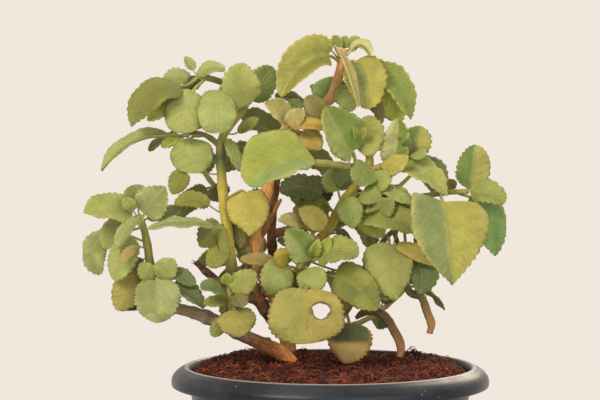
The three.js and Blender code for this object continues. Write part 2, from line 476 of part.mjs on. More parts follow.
// A leaf is one sheet: a narrow petiole that leaves the stem and widens into the blade.
function leafSheet(leaf, stems) {
  const spots = [];
  const faces = [];
  const add = (spot) => spots.push(spot) - 1;
  const { on: base, side } = bladeAt(leaf, 0);
  const joint = jointOf(leaf, stems);
  const reach = joint.distanceTo(base);
  const sag = joint.clone().lerp(base, 0.6);
  sag.z -= 0.1 * reach;
  const stalk = reach > LONG_STALK ? [joint, sag, base] : [joint, base];
  let pair = null;
  stalk.forEach((spot, i) => {
    const way = base.clone().sub(joint).normalize();
    const across = side.clone().addScaledVector(way, -side.dot(way));
    if (across.length() < 0.3) across.copy(way.clone().cross(bladeAt(leaf, 0).face));
    across.normalize();
    if (across.dot(side) < 0) across.negate();
    const last = i === stalk.length - 1;
    const half = THREE.MathUtils.lerp(PETIOLE[0], PETIOLE[1], i / (stalk.length - 1));
    const lift = last ? bladeAt(leaf, 0).face : across.clone().cross(way);
    const to = last ? side : across;
    const next = [1, -1].map((hand) =>
      add({
        point: spot.clone().addScaledVector(to, hand * half),
        lift: lift.clone().multiplyScalar(last ? BLADE / 2 : half),
      }),
    );
    if (pair) faces.push([pair[1], pair[0], next[0]], [pair[1], next[0], next[1]]);
    pair = next;
  });
  const length = leaf.rib[0].distanceTo(leaf.rib[2]);
  const [, teeth, bends] = DETAIL.findLast(([from]) => length >= from);
  const tip = add(bladeSpot(leaf, 1, 0));
  const rib = [...bends.map((along) => [along, add(bladeSpot(leaf, along, 0))]), [1, tip]];
  faces.push([pair[1], pair[0], rib[0][1]]);
  for (const hand of [1, -1]) {
    const edge = margin(leaf.form, teeth).map(([along, out]) => {
      return [along, add(bladeSpot(leaf, along, hand * out))];
    });
    const rim = [[0, hand > 0 ? pair[0] : pair[1]], ...edge, [1, tip]];
    let [i, k] = [0, 0];
    while (i < rib.length - 1 || k < rim.length - 1) {
      const far = k === rim.length - 1 || (i < rib.length - 1 && rib[i + 1][0] < rim[k + 1][0]);
      const next = far ? rib[i + 1][1] : rim[k + 1][1];
      const face = [rib[i][1], rim[k][1], next];
      if (new Set(face).size === 3) faces.push(hand > 0 ? face : face.toReversed());
      far ? i++ : k++;
    }
  }
  return thickened(spots, faces);
}

// A sheet of triangles given its thickness, with walls along its open edges.
function thickened(spots, faces) {
  const count = spots.length;
  const side = (way) => spots.map(({ point, lift }) => point.clone().addScaledVector(lift, way));
  const points = [...side(1), ...side(-1)];
  const under = faces.map(([a, b, c]) => [a + count, c + count, b + count]);
  const edges = new Set(faces.flatMap(([a, b, c]) => [`${a},${b}`, `${b},${c}`, `${c},${a}`]));
  const walls = [...edges]
    .map((edge) => edge.split(",").map(Number))
    .filter(([a, b]) => !edges.has(`${b},${a}`))
    .flatMap(([a, b]) => [[b, a, a + count], [b, a + count, b + count]]);
  return solid(closedGeometry(points, [...faces, ...under, ...walls]));
}

// Places every couple of millimetres along the middle of a stem's solid, from its foot.
function stemSpots(places) {
  const bends = smooth(places.map(seen)).getSpacedPoints(places.length);
  return bends.slice(1).flatMap((bend, i) => {
    const count = Math.ceil(bend.distanceTo(bends[i]) / 2);
    return Array.from({ length: count }, (_, k) => bends[i].clone().lerp(bend, k / count));
  });
}

// A strap is one even sheet along its places.
function strapSheet([, places, width, [right, front, up]]) {
  const curve = smooth(places.map(seen));
  const spots = [];
  const faces = [];
  const steps = 2 * (places.length - 1);
  for (let i = 0; i <= steps; i++) {
    const way = curve.getTangentAt(i / steps);
    const face = new THREE.Vector3(right, -front, up);
    face.addScaledVector(way, -face.dot(way)).normalize();
    const side = way.clone().cross(face);
    const half = i ? width / 2 : width / 5;
    for (const hand of [1, -1]) {
      const point = curve.getPointAt(i / steps).addScaledVector(side, hand * half);
      spots.push({ point, lift: face.clone().multiplyScalar(0.6 * BLADE) });
    }
    const k = 2 * i;
    if (i) faces.push([k - 1, k - 2, k], [k - 1, k, k + 1]);
  }
  return thickened(spots, faces);
}

function shoot(name) {
  const back = BACK_SHOOTS.filter(([of]) => of === name).map(([, places, foot]) => [name, places, foot, 1.1]);
  const stems = [...STEMS.filter(([of]) => of === name), ...back];
  const spots = stems.map(([, places]) => stemSpots(places));
  const parts = stems.map(([, places, foot, tip]) =>
    taperedTube(places.map(seen), [foot, tip], 5, places.length),
  );
  for (const leaf of leaves.filter((one) => one.shoot === name)) {
    const sheet = leafSheet(leaf, spots);
    parts.push(leaf.form === "full" ? sheet.subtract(taperedTube(LEAF_HOLE.map(seen), [5, 5], 8, 1)) : sheet);
  }
  for (const strap of STRAPS.filter(([of]) => of === name)) parts.push(strapSheet(strap));
  return wasm.Manifold.union(parts);
}

// ---------------------------------------------------------------- soil

// How high the coir stands: banked round the trunk, heaped against the rim at the back right, and sunk next
// to that heap.
function soilHeight(x, y) {
  const bank = (px, py, high, wide) => high * Math.exp(-((x - px) ** 2 + (y - py) ** 2) / (2 * wide ** 2));
  const lumps = 0.7 * Math.sin(x / 7.3 + 1) * Math.sin(y / 6.1);
  const level = 3.4 + bank(-38, 22, 7.5, 24) + bank(62, 44, 4, 20) - bank(34, 74, 3, 15);
  return SOIL_LINE + level + lumps - 2.6 * (Math.hypot(x, y) / 87) ** 8;
}

const SOIL_SIDES = 24;
const SOIL_RINGS = [22, 44, 64, 78, 86.2];
const SOIL_WALL = [[84, POT_HEIGHT - RIM_DROP], [67, WALL + 3], [65, WALL + 1 + GAP]];

function soil() {
  const spots = [new THREE.Vector3(0, 0, soilHeight(0, 0))];
  const ring = (radius, height) => {
    for (let k = 0; k < SOIL_SIDES; k++) {
      const turn = (2 * Math.PI * k) / SOIL_SIDES;
      const [x, y] = [radius * Math.cos(turn), radius * Math.sin(turn)];
      spots.push(new THREE.Vector3(x, y, height ?? soilHeight(x, y)));
    }
  };
  for (const radius of SOIL_RINGS) ring(radius);
  for (const [radius, height] of SOIL_WALL) ring(radius, height);
  spots.push(new THREE.Vector3(0, 0, WALL + 1 + GAP));
  const rings = SOIL_RINGS.length + SOIL_WALL.length;
  const at = (i, k) => 1 + i * SOIL_SIDES + (k % SOIL_SIDES);
  const triangles = [];
  for (let k = 0; k < SOIL_SIDES; k++) {
    triangles.push([0, at(0, k), at(0, k + 1)]);
    triangles.push([spots.length - 1, at(rings - 1, k + 1), at(rings - 1, k)]);
    for (let i = 0; i < rings - 1; i++) {
      triangles.push([at(i, k), at(i + 1, k), at(i + 1, k + 1)]);
      triangles.push([at(i, k), at(i + 1, k + 1), at(i, k + 1)]);
    }
  }
  return solid(closedGeometry(spots, triangles));
}

// ---------------------------------------------------------------- assembly

const part = new THREE.Group();

function place(name, made, material) {
  const mesh = new THREE.Mesh(geometryOf(made), material);
  mesh.name = name;
  part.add(mesh);
}

const woody = ([places, foot, tip], extra = 0) =>
  taperedTube(places.map(seen), [foot + extra, tip + extra], 6, places.length + 3);
const trunk = [TRUNK, FORK, TWIG, SPUR];
const clearance = wasm.Manifold.union([...trunk, LOW_BRANCH].map((stem) => woody(stem, GAP)));

place("pot", pot(), POT_PLASTIC);
place("soil", soil().subtract(clearance), COIR);
place("trunk", wasm.Manifold.union(trunk.map((stem) => woody(stem))), BARK);
place("low_branch", woody(LOW_BRANCH), OLD_BARK);
for (const name of new Set([...STEMS, ...BACK_SHOOTS].map(([of]) => of))) {
  place(`shoot_${name}`, wholePiece(shoot(name).subtract(clearance)), LEAF);
}

export default part;
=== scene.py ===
"""A potted sage: a bushy, soft-leaved herb with round scalloped leaves, in a black nursery pot of coir.

The plant's layout is in millimetres in the row frame, origin at the middle of the pot's base, +Z up and
-Y to the front, and is turned into metres where a mesh is built.
"""
import math

import bpy
import numpy as np
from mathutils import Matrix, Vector


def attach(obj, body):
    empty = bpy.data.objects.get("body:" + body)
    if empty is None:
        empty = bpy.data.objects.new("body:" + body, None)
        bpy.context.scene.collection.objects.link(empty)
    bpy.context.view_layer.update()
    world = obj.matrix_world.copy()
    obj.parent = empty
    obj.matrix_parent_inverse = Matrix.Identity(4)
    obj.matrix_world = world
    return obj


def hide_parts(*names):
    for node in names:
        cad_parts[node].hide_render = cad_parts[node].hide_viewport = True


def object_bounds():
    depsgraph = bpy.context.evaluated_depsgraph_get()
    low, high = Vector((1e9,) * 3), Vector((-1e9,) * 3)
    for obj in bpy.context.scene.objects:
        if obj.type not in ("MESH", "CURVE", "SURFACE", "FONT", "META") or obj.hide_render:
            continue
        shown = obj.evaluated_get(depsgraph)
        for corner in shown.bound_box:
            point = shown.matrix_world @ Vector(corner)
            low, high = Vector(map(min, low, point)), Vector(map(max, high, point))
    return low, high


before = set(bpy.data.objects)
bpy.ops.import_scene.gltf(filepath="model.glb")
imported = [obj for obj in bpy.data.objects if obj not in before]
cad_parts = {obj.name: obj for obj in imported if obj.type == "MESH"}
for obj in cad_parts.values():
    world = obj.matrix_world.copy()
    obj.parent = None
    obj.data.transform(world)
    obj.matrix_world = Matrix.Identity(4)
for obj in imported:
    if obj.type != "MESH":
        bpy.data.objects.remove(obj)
CAD_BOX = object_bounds()

# ---------------------------------------------------------------- driving dimensions, in millimetres

MM = 0.001
RIM_RADIUS = 100
POT_HEIGHT = 170
BASE_RADIUS = 70
LIP_RADIUS = 90
NECK_RADIUS = 87
RIM_DROP = 12
WALL = 2
DRAIN_HOLES = 6
DRAIN_RADIUS = 5
DRAIN_CIRCLE = 46
SOIL_LINE = POT_HEIGHT - 5  # the plant's heights are measured from here
SOIL_RADIUS = 86
SOIL_FLOOR = WALL + 1.4
THICKNESS = 0.95  # a blade's, along its middle
FLOOR_RADIUS = 990
FLOOR_LEVELS = (-0.2, -4.0)
INSET = 0.3  # from the object's box to the outermost leaves
ROOM = np.array([list(corner) for corner in CAD_BOX]) / MM + [[INSET], [-INSET]]
SHOWN = 0.68  # a surface's colour, of the light that it sends back in the studio
EYE = np.array([-19.0, -1200.0, SOIL_LINE + 153])  # where the plant is seen from
AIM = (-19.0, 0, 274.4)  # and the place there that is looked at
LENS, SENSOR = 114.5, 36
LIT = (0, 0, 270)  # what the lamps look at
SKY_TINT, SKY_STRENGTH = (246, 236, 226), 0.95
BED_RINGS, BED_SIDES = 76, 300  # the coir's top, as rings of points
FULL_GROWN = 34  # a leaf's length from which it has its full detail

# ---------------------------------------------------------------- the plant's layout

# A place is [across, up, behind]: where its line of sight crosses the plane of the pot's axis, and how far
# behind that plane it lies. Woody stems: places along each, then its radius at the root and at the far end.
TRUNK = [
    [[-24, -32, 24], [-25, 8, 24], [-29, 30, 18], [-34, 46, 12], [-42, 60, 6], [-46, 76, 4], [-45, 92, 4],
     [-41, 110, 6], [-38, 124, 8]], 5.2, 3.6]
FORK = [
    [[-27, 22, 22], [-31, 42, 20], [-35, 66, 18], [-37, 90, 16], [-35, 112, 16], [-34, 122, 16]], 3.6, 2.4]
TWIG = [[[-40, 44, 12], [-50, 47, 4], [-62, 50, -2], [-71, 58, -4], [-85, 70, -6]], 3, 2.2]
STUB = [[[-35, 33, 15], [-43, 43, 8], [-47, 51, 5], [-49, 58, 4]], 4.4, 3.4]
SPUR = [[[-45, 84, 5], [-40, 92, -1], [-36, 101, -2], [-31, 110, 0]], 1.8, 1.3]
LOW_BRANCH = [
    [[-21, -34, 2], [-23, 0, 2], [-29, 11, -2], [-42, 18, -7], [-57, 25, -12], [-70, 32, -14],
     [-85, 38, -14], [-104, 42, -12], [-128, 42, -10]], 5.4, 3.2]

# Green stems: the leafy shoot each belongs to, places along it, its radius at the foot and at the tip, and
# its tints at the foot, halfway and at the tip.
STEMS = [
    # On the left stem the dark bottle stretches are painted shade, where the stem runs in shadow.
    ["upper_left", [[-62, 38, -12], [-62, 65, -10], [-64, 82, -9], [-66, 100, -8], [-68, 120, -6],
     [-68, 148, -2], [-60, 160, 0], [-53, 170, 2], [-57, 178, 2], [-70, 184, 0], [-84, 188, -2]],
     3.9, 1.8, ["bottle", "bottle", "gold", "gold", "gold", "bottle", "gold", "moss", "moss", "lime"]],
    ["upper_left", [[-68, 142, -3], [-78, 150, 2], [-91, 153, 2]], 2, 1.2, ["moss", "lime", "rust"]],
    ["crown", [[-38, 124, 9], [-34, 140, 10], [-26, 156, 8], [-14, 163, 8], [-1, 172, 5], [4, 183, 3],
     [7, 194, 0], [8, 204, -2]], 3.6, 2.8, ["amber", "copper", "copper", "copper"]],
    ["right", [[-32, 50, 20], [-20, 64, 22], [-10, 80, 20], [0, 93, 12], [8, 108, 8], [14, 116, 6],
     [24, 130, 4], [24, 140, 2], [19, 150, -3]], 3.8, 2.2, ["moss", "gold", "gold", "lime"]],
    ["right", [[22, 127, 4], [8, 131, -10], [-9, 133, -26]], 2.2, 2, ["lime", "lime", "lime"]],
    ["right", [[22, 127, 4], [36, 132, 3], [48, 138, 2]], 2.2, 1.6, ["gold", "gold", "lime"]],
    ["far_right", [[-36, 88, 17], [-18, 92, 26], [8, 96, 26], [32, 104, 20], [56, 111, 8], [72, 114, 2],
     [87, 115, -2]], 3, 1.5, ["cork", "moss", "lime"]],
    ["centre", [[-37, 51, 10], [-27, 57, 5], [-18, 68, 0], [-13, 80, -4], [-10, 93, -5]],
     2.8, 1.2, ["rust", "gold", "lime"]],
    ["left", [[-106, 43, -13], [-112, 60, -16], [-115, 80, -16], [-117, 90, -14], [-121, 100, -12]],
     3.2, 2, ["moss", "moss", "lime"]],
    ["low_front", [[-60, 27, -12], [-62, 38, -22], [-63, 47, -27], [-64, 57, -29]],
     2.4, 1.2, ["moss", "lime", "lime"]],
    ["low_right", [[-22, 24, 24], [4, 33, 27], [20, 58, 22], [31, 80, 12], [42, 91, 6], [52, 90, 2]],
     2.8, 1.4, ["cork", "moss", "lime"]],
    ["low_right", [[-8, 29, 26], [2, 29, 17], [12, 31, 8]], 1.8, 1.2, ["dark_brown_and_shade", "dark_brown_and_shade", "toast"]],
    ["low_right", [[40, 90, 7], [45, 74, 12], [48, 58, 9]], 1.4, 1.1, ["moss", "moss", "cork"]],
]

# Dry strap-like leaves: shoot, places along each, its width, where its upper face looks, and its tints
# along it.
STRAPS = [
    ["low_right", [[16, 35, 12], [23, 39, 9], [32, 38, 5], [40, 28, 3], [45, 16, 2], [44, 10, 2]],
     6.5, [0.25, 0.9, 0.35], ["toast", "toast", "straw"]],
    ["low_right", [[46, 60, 9], [51, 51, 6], [57, 49, 4], [61, 40, 3], [64, 31, 2], [63, 25, 2]],
     6, [0.3, 0.9, 0.3], ["khaki", "khaki", "straw"]],
]

# Shoots at the back, placed by rule: name, places along the stem, the radius at the foot, how many pairs of
# leaves, the length of the lowest ones, and how far the first pair is turned in degrees.
BACK_SHOOTS = [
    ["back_left", [[-44, 84, 10], [-60, 104, 34], [-80, 128, 54], [-90, 150, 60]], 2.6, 4, 36, 20],
    ["back_top", [[-36, 118, 17], [-26, 138, 34], [-12, 158, 46], [-4, 178, 50]], 2.6, 4, 36, 50],
    ["back_right", [[-34, 70, 19], [0, 90, 46], [34, 110, 58], [54, 128, 60]], 2.6, 4, 38, 30],
    ["back_low_left", [[-40, 50, 14], [-50, 56, 42], [-60, 64, 60], [-64, 78, 68]], 2.4, 4, 32, 10],
    ["back_low_right", [[-28, 30, 22], [16, 31, 50], [46, 52, 64], [62, 76, 66]], 2.4, 4, 34, 50],
]

# Leaf forms: how blunt the blade is at its base and how pointed at its tip, how far its widest part lies
# toward the base, and how deep its scallops are.
FORMS = {
    "round": (0.75, 0.70, 0.02, 0.45), "oval": (0.85, 0.90, 0.10, 1.0), "broad": (0.55, 1.05, 0.16, 1.1),
    "ovate": (0.65, 1.35, 0.20, 1.0), "lance": (0.85, 1.30, 0.05, 0.6), "full": (0.45, 0.75, -0.04, 1.1),
    "drop": (2.40, 1.00, -0.10, 0.35), "wedge": (0.32, 2.20, 0.35, 0.9),
}

# Leaves, one to a line under their shoot: the midrib's base, middle and tip, the width, where the upper
# face looks as right, out to the front and up, how far each half is folded up in degrees, form and look.
LEAVES = """
upper_left: the drooping head at the upper left
-94 181 -5, -114 177 -16, -126 152 -18, 31, -0.3 0.6 0.7, -8, ovate, dusk
-88 183 5, -96 187 2, -106 185 2, 13, 0 0.8 0.6, 10, oval, frost
-86 191 1, -88 195 2, -92 200 3, 7, 0 1 0.2, 20, lance, frost
-82 187 -4, -75 192 -6, -65 190 -8, 14, 0 0.6 0.7, 12, oval, frost
-52 170 -4, -56 182 -9, -53 197 -10, 26, 0 1 0, 12, broad, fresh
-49 172 6, -43 183 10, -35 194 12, 20, 0.4 0.8 0.2, 5, oval, green
-86 178 -9, -91 164 -16, -92 150 -17, 26, 0 1 0.1, -5, round, pale
-70 178 -10, -71 164 -20, -70 150 -20, 25, 0.1 1 0.1, -5, round, pale
-98 173 -3, -106 167 -8, -116 158 -9, 15, 0 0.9 0.5, 8, ovate, deep
-101 150 -1, -125 145 -8, -146 125 -10, 18, -0.1 0.4 1, 24, lance, striped
-94 149 3, -100 147 1, -107 142 1, 9, 0 0.9 0.5, 0, oval, deep
-87 148 -5, -87 137 -9, -87 125 -8, 27, 0 1 0.1, -4, round, pale
-92 127 -6, -96 120 -9, -100 112 -9, 13, 0.1 0.9 0.3, 10, ovate, olive
-65 148 -6, -60 138 -8, -56 127 -8, 9, 0.3 0.9 0.2, 0, oval, pale
-58 152 0, -51 157 -1, -44 161 -2, 8, 0 0.9 0.3, 15, lance, olive
upper_left: halfway up the left stem
-69 94 -12, -76 87 -15, -83 79 -16, 18, 0 0.9 0.3, 20, ovate, shaded
-67 79 -19, -72 73 -25, -78 67 -26, 14, 0 1 0.2, 12, broad, olive
-69 93 -17, -67 81 -22, -65 68 -22, 7, 0.2 1 0.1, 0, lance, olive
-60 98 -2, -57 88 -4, -57 78 -4, 10, 0.1 1 0.1, 0, oval, umber
-60 84 0, -55 80 -1, -50 75 -2, 9, 0.1 1 0.2, 0, oval, umber
-54 114 -14, -51 99 -19, -51 85 -18, 26, 0.1 1 0, -6, wedge, wilted
-74 93 -26, -94 95 -33, -117 90 -35, 20, 0 0.3 1, 4, lance, frost
-76 106 -8, -87 110 -12, -99 106 -14, 13, 0 0.8 0.5, 0, oval, olive
right: the big leaf at the middle
-9 132 -26, -32 134 -38, -54 116 -42, 42, -0.1 0.8 0.6, 30, drop, sunlit
crown: the yellowed bunch under the crown
-27 159 2, -34 166 -1, -42 171 -2, 17, 0.1 0.8 0.6, 24, ovate, blond
-26 157 -5, -21 162 -9, -15 166 -10, 12, 0 1 0.2, 10, ovate, blond
-23 155 -7, -12 157 -12, -2 153 -14, 12, 0.1 0.7 0.7, 12, oval, gold
-17 152 1, -11 147 -7, -5 140 -8, 14, 0.1 1 0.2, 0, ovate, gold
-5 161 -1, -10 168 -5, -16 175 -6, 14, -0.1 1 0.2, 6, oval, blond
crown: the crown
-1 200 -9, -18 194 -17, -32 171 -22, 30, -0.2 0.96 0.19, 46, broad, valley
1 203 -4, -7 208 -6, -15 207 -7, 13, 0 0.7 0.7, 12, oval, gold
5 205 0, 4 209 -1, 1 213 -2, 8, -0.2 1 0.2, 20, lance, fresh
8 205 2, 9 209 1, 10 213 1, 8, 0.1 1 0.1, 20, lance, pale
12 204 1, 16 208 -1, 20 210 -2, 10, 0.1 0.8 0.5, 20, oval, fresh
13 203 -5, 20 207 -9, 26 199 -11, 12, 0.2 0.6 0.8, 14, oval, lit_top
3 206 -13, 12 189 -24, 18 165 -27, 11, 0.8 0.55 0.1, 20, lance, blond
16 196 -6, 22 185 -13, 23 164 -15, 28, 0.2 0.95 0.2, 14, oval, split
28 192 1, 43 181 -4, 51 157 -6, 21, 0.35 0.85 0.4, 10, ovate, rimmed
16 192 6, 32 178 8, 46 155 8, 29, 0.1 1 0.1, 0, ovate, deep
24 182 -2, 29 169 -4, 33 156 -5, 9, 0.2 1 0.1, 0, lance, umber
0 171 10, 1 179 12, 2 188 13, 25, 0 1 0.1, 8, broad, blue
-18 167 10, -22 170 12, -27 171 12, 7, 0 0.9 0.3, 0, oval, forest
4 180 0, 10 173 -2, 14 164 -2, 13, 0 1 0.1, 0, oval, pale
right: the shoot in the middle of the right half
14 140 -6, 5 154 -14, -4 170 -16, 29, 0.1 0.9 0.4, 28, ovate, halved
17 142 -1, 23 152 -7, 24 164 -9, 24, 0.1 0.9 0.3, 14, broad, fresh
17 148 -8, 16 152 -12, 15 156 -14, 6, 0.3 0.9 0.2, 20, ovate, bright
20 148 -8, 21 152 -13, 22 156 -15, 6, -0.3 0.9 0.2, 20, ovate, bright
13 138 -8, 7 140 -12, -1 141 -14, 14, 0 0.9 0.5, 10, broad, fresh
right: its neighbour to the right
38 131 0, 42 147 -5, 42 163 -6, 20, -0.1 1 0.1, 32, ovate, flushed
48 140 -2, 54 148 -7, 57 157 -9, 22, 0.1 1 0.2, 18, broad, turncoat
47 142 -6, 49 145 -11, 51 149 -12, 7, 0 1 0.2, 20, ovate, forest
52 139 -4, 56 139 -12, 61 138 -14, 11, 0 0.9 0.4, 0, oval, pale
33 128 -8, 42 132 -15, 50 138 -17, 13, 0 1 0.3, 16, ovate, wilted
52 134 -1, 57 131 -3, 62 126 -4, 12, 0.2 1 0.2, 0, oval, green
42 130 -4, 60 125 -11, 75 110 -13, 21, 0.1 0.7 0.7, 26, ovate, fresh
54 131 2, 65 129 0, 73 119 -1, 16, 0.1 0.9 0.4, 0, oval, forest
far_right: the end of the right branch
87 117 -2, 90 130 -6, 91 146 -7, 22, 0 1 0.1, 14, oval, turncoat
89 112 -6, 99 114 -12, 111 106 -14, 19, 0.1 0.8 0.5, 14, oval, mid
71 108 -24, 74 84 -38, 77 52 -40, 49, 0.25 0.95 0.2, 22, wedge, large
88 111 4, 100 96 0, 104 71 -2, 24, 0.1 1 0.1, -4, ovate, blue
73 117 10, 76 119 10, 80 121 9, 8, 0 1 0, 0, oval, olive
right: under the right shoots
14 120 10, 9 125 10, 3 128 10, 18, 0 1 0.1, 0, oval, forest
29 120 -6, 41 113 -13, 53 106 -17, 9, 0.1 0.9 0.4, 8, lance, fresh
38 109 0, 43 104 -6, 48 97 -7, 22, 0 1 0.1, 0, broad, green
20 105 -2, 28 108 -6, 38 107 -7, 16, 0 0.8 0.6, 8, broad, mid
22 98 -4, 39 98 -14, 57 87 -16, 24, 0 0.8 0.6, 22, ovate, mid
18 96 8, 27 92 4, 35 86 3, 14, 0 1 0.2, 0, oval, deep
20 114 -4, 26 113 -10, 33 110 -11, 16, 0 0.9 0.4, 0, broad, mid
10 110 -6, 13 101 -11, 14 90 -11, 17, 0.1 1 0, 0, ovate, green
5 115 14, 4 122 19, 4 131 20, 20, 0 1 -0.2, -8, oval, green
-6 112 10, -19 118 7, -33 113 5, 20, 0 0.8 0.6, 0, oval, night
-4 106 21, -10 115 26, -17 124 28, 23, 0 1 0.1, 0, oval, night
left: the left-hand bunch
-125 99 -14, -141 103 -20, -157 101 -22, 24, 0 0.75 0.65, 26, ovate, fresh
-121 105 -4, -122 111 -5, -124 120 -5, 17, 0 1 0.3, 0, round, frost
-124 103 -17, -127 107 -20, -131 111 -21, 9, 0 1 0.2, 15, ovate, fresh
-117 101 -14, -111 109 -18, -103 119 -20, 22, 0.2 0.9 0.4, 14, ovate, frost
-115 98 -8, -104 102 -8, -92 104 -7, 16, 0 0.6 0.8, 0, oval, green
-127 86 -19, -131 73 -28, -137 57 -28, 19, -0.2 1 0.1, -6, oval, pale
-127 96 -9, -137 89 -11, -141 77 -12, 16, -0.1 1 0.2, 0, oval, pale
-141 88 3, -149 76 1, -143 61 -1, 17, -0.2 1 0.1, 0, oval, frost
-122 80 -28, -128 75 -36, -131 68 -38, 8, 0 1 0.2, -10, oval, tan
-118 72 -10, -123 66 -11, -126 59 -11, 12, 0 1 0.1, 0, oval, forest
-118 60 -18, -127 52 -22, -135 38 -23, 22, -0.1 1 0.1, -5, broad, sallow
-111 60 -23, -116 65 -27, -119 71 -28, 12, 0 1 0.2, 0, broad, pale
-108 60 -24, -103 66 -28, -98 73 -30, 15, 0.1 1 0.1, 0, broad, pale
-109 59 -30, -109 45 -38, -109 30 -38, 29, 0 1 0.15, -4, broad, frost
-99 66 -22, -92 61 -25, -84 55 -26, 11, 0.2 0.8 0.5, 0, oval, shade
-98 57 -22, -89 51 -25, -78 40 -26, 15, 0.2 0.6 0.7, 16, oval, shade
low_front: the low shoot in front
-65 56 -31, -65 60 -33, -65 64 -34, 8, 0 1 0.1, 15, ovate, bright
-61 52 -31, -54 58 -34, -46 65 -35, 16, 0.2 0.9 0.3, 10, broad, mid
-67 50 -32, -74 54 -37, -83 54 -39, 15, 0 0.6 0.8, 16, oval, forest
-65 44 -26, -72 46 -28, -81 43 -29, 10, 0 0.7 0.7, 0, oval, olive
-60 40 -33, -59 32 -40, -58 22 -40, 24, 0 1 0.1, -4, broad, sallow
-60 49 -33, -57 46 -39, -55 41 -41, 12, 0 0.9 0.4, 0, oval, umber
-66 35 -24, -71 29 -28, -74 22 -29, 10, -0.2 1 0.1, -10, oval, mid
centre: the middle shoot
-30 69 -6, -45 72 -11, -58 71 -15, 11, 0 0.8 0.6, 0, oval, tan
-26 67 -10, -34 60 -19, -38 49 -20, 22, 0 1 0.2, 0, broad, pale
-24 80 2, -29 83 0, -34 84 -1, 7, 0 0.8 0.6, 10, oval, shade
-18 65 0, -21 59 -2, -24 52 -3, 8, -0.3 1 0, 0, oval, umber
-14 66 -15, -11 58 -23, -9 50 -25, 19, 0 1 0.15, 0, broad, fresh
-13 72 -11, -20 82 -17, -29 92 -19, 20, -0.1 1 0.2, 14, ovate, halved
-11 74 -14, -9 79 -20, -7 86 -21, 8, 0.1 1 0.1, 15, ovate, bright
-8 74 -14, -3 80 -19, 0 87 -20, 9, -0.1 1 0.1, 15, ovate, bright
-7 73 -14, 6 78 -24, 19 73 -27, 21, 0 0.8 0.6, 8, broad, mid
-17 93 -5, -25 97 -9, -34 96 -11, 10, 0 0.9 0.4, 0, ovate, blond
-4 92 -6, -12 99 -10, -21 104 -12, 15, 0 1 0.3, 8, ovate, straw
-15 53 -33, -15 35 -43, -14 17 -43, 47, 0 1 0.1, 3, full, holed
3 61 -16, 17 54 -24, 31 38 -25, 25, 0.1 1 0.2, 6, broad, olive
17 63 -3, 28 58 -6, 37 44 -8, 17, 0.2 0.9 0.4, -5, oval, tan
low_right: the low right shoot
37 82 -8, 37 65 -19, 43 45 -19, 31, 0 1 0.1, -4, ovate, dulled
50 77 -6, 58 64 -13, 55 48 -14, 23, 0.2 1 0.2, 8, ovate, forest
54 88 6, 60 82 5, 67 73 5, 12, 0.2 1 0.1, 0, oval, green
13 31 2, 12 19 -8, 9 5 -8, 28, 0 0.9 0.3, 0, broad, scorched
upper_left: leaves that fill the gaps between them
-81 185 2, -87 182 2, -93 178 3, 11, 0 0.8 0.5, 10, oval, night
low_right:
42 81 -9, 54 76 -14, 66 67 -16, 12, 0.1 0.8 0.6, 8, lance, straw
centre:
-27 69 -12, -30 74 -19, -31 80 -20, 12, 0 1 0.2, 6, broad, yellow
right:
0 103 14, -12 104 17, -25 102 17, 14, 0 1 0.1, 0, oval, olive
25 130 -2, 21 125 -9, 18 117 -11, 19, 0 1 0.2, 10, broad, green
30 106 -2, 41 109 -8, 54 102 -12, 20, 0 1 0.3, 14, ovate, green
left:
-121 98 -22, -130 89 -30, -135 77 -32, 9, -0.2 1 0.1, 10, lance, frost
upper_left:
-62 140 2, -55 134 0, -50 124 -1, 14, 0.1 1 0.1, 0, oval, forest
right:
28 118 -6, 33 122 -12, 40 124 -14, 14, 0 1 0.3, 10, broad, fresh
30 100 -8, 35 105 -14, 41 110 -16, 14, 0 1 0.2, 10, ovate, mid
"""

# Tints, in the screen's red, green and blue. A number over 255 makes up for what the bark's grain takes.
# The darkest brown is partly the wood's own colour and partly painted shade, on the fork, stub and twig
# that lie in shadow inside the bush; the brightest orange is orange bark with painted light on it, where
# the warm light falls on the low branch's foot.
TINTS = {
    "lime": (172, 168, 84), "moss": (138, 138, 64), "rust": (172, 102, 62), "cork": (182, 126, 80),
    "straw": (186, 130, 70), "toast": (124, 96, 60), "khaki": (136, 120, 74), "gold": (204, 190, 84),
    "bottle": (76, 94, 56), "copper": (248, 190, 122), "lit_orange_bark": (300, 204, 100), "amber": (255, 190, 118),
    "ash": (176, 156, 132), "dark_brown_and_shade": (86, 60, 50), "brick": (250, 180, 122),
}
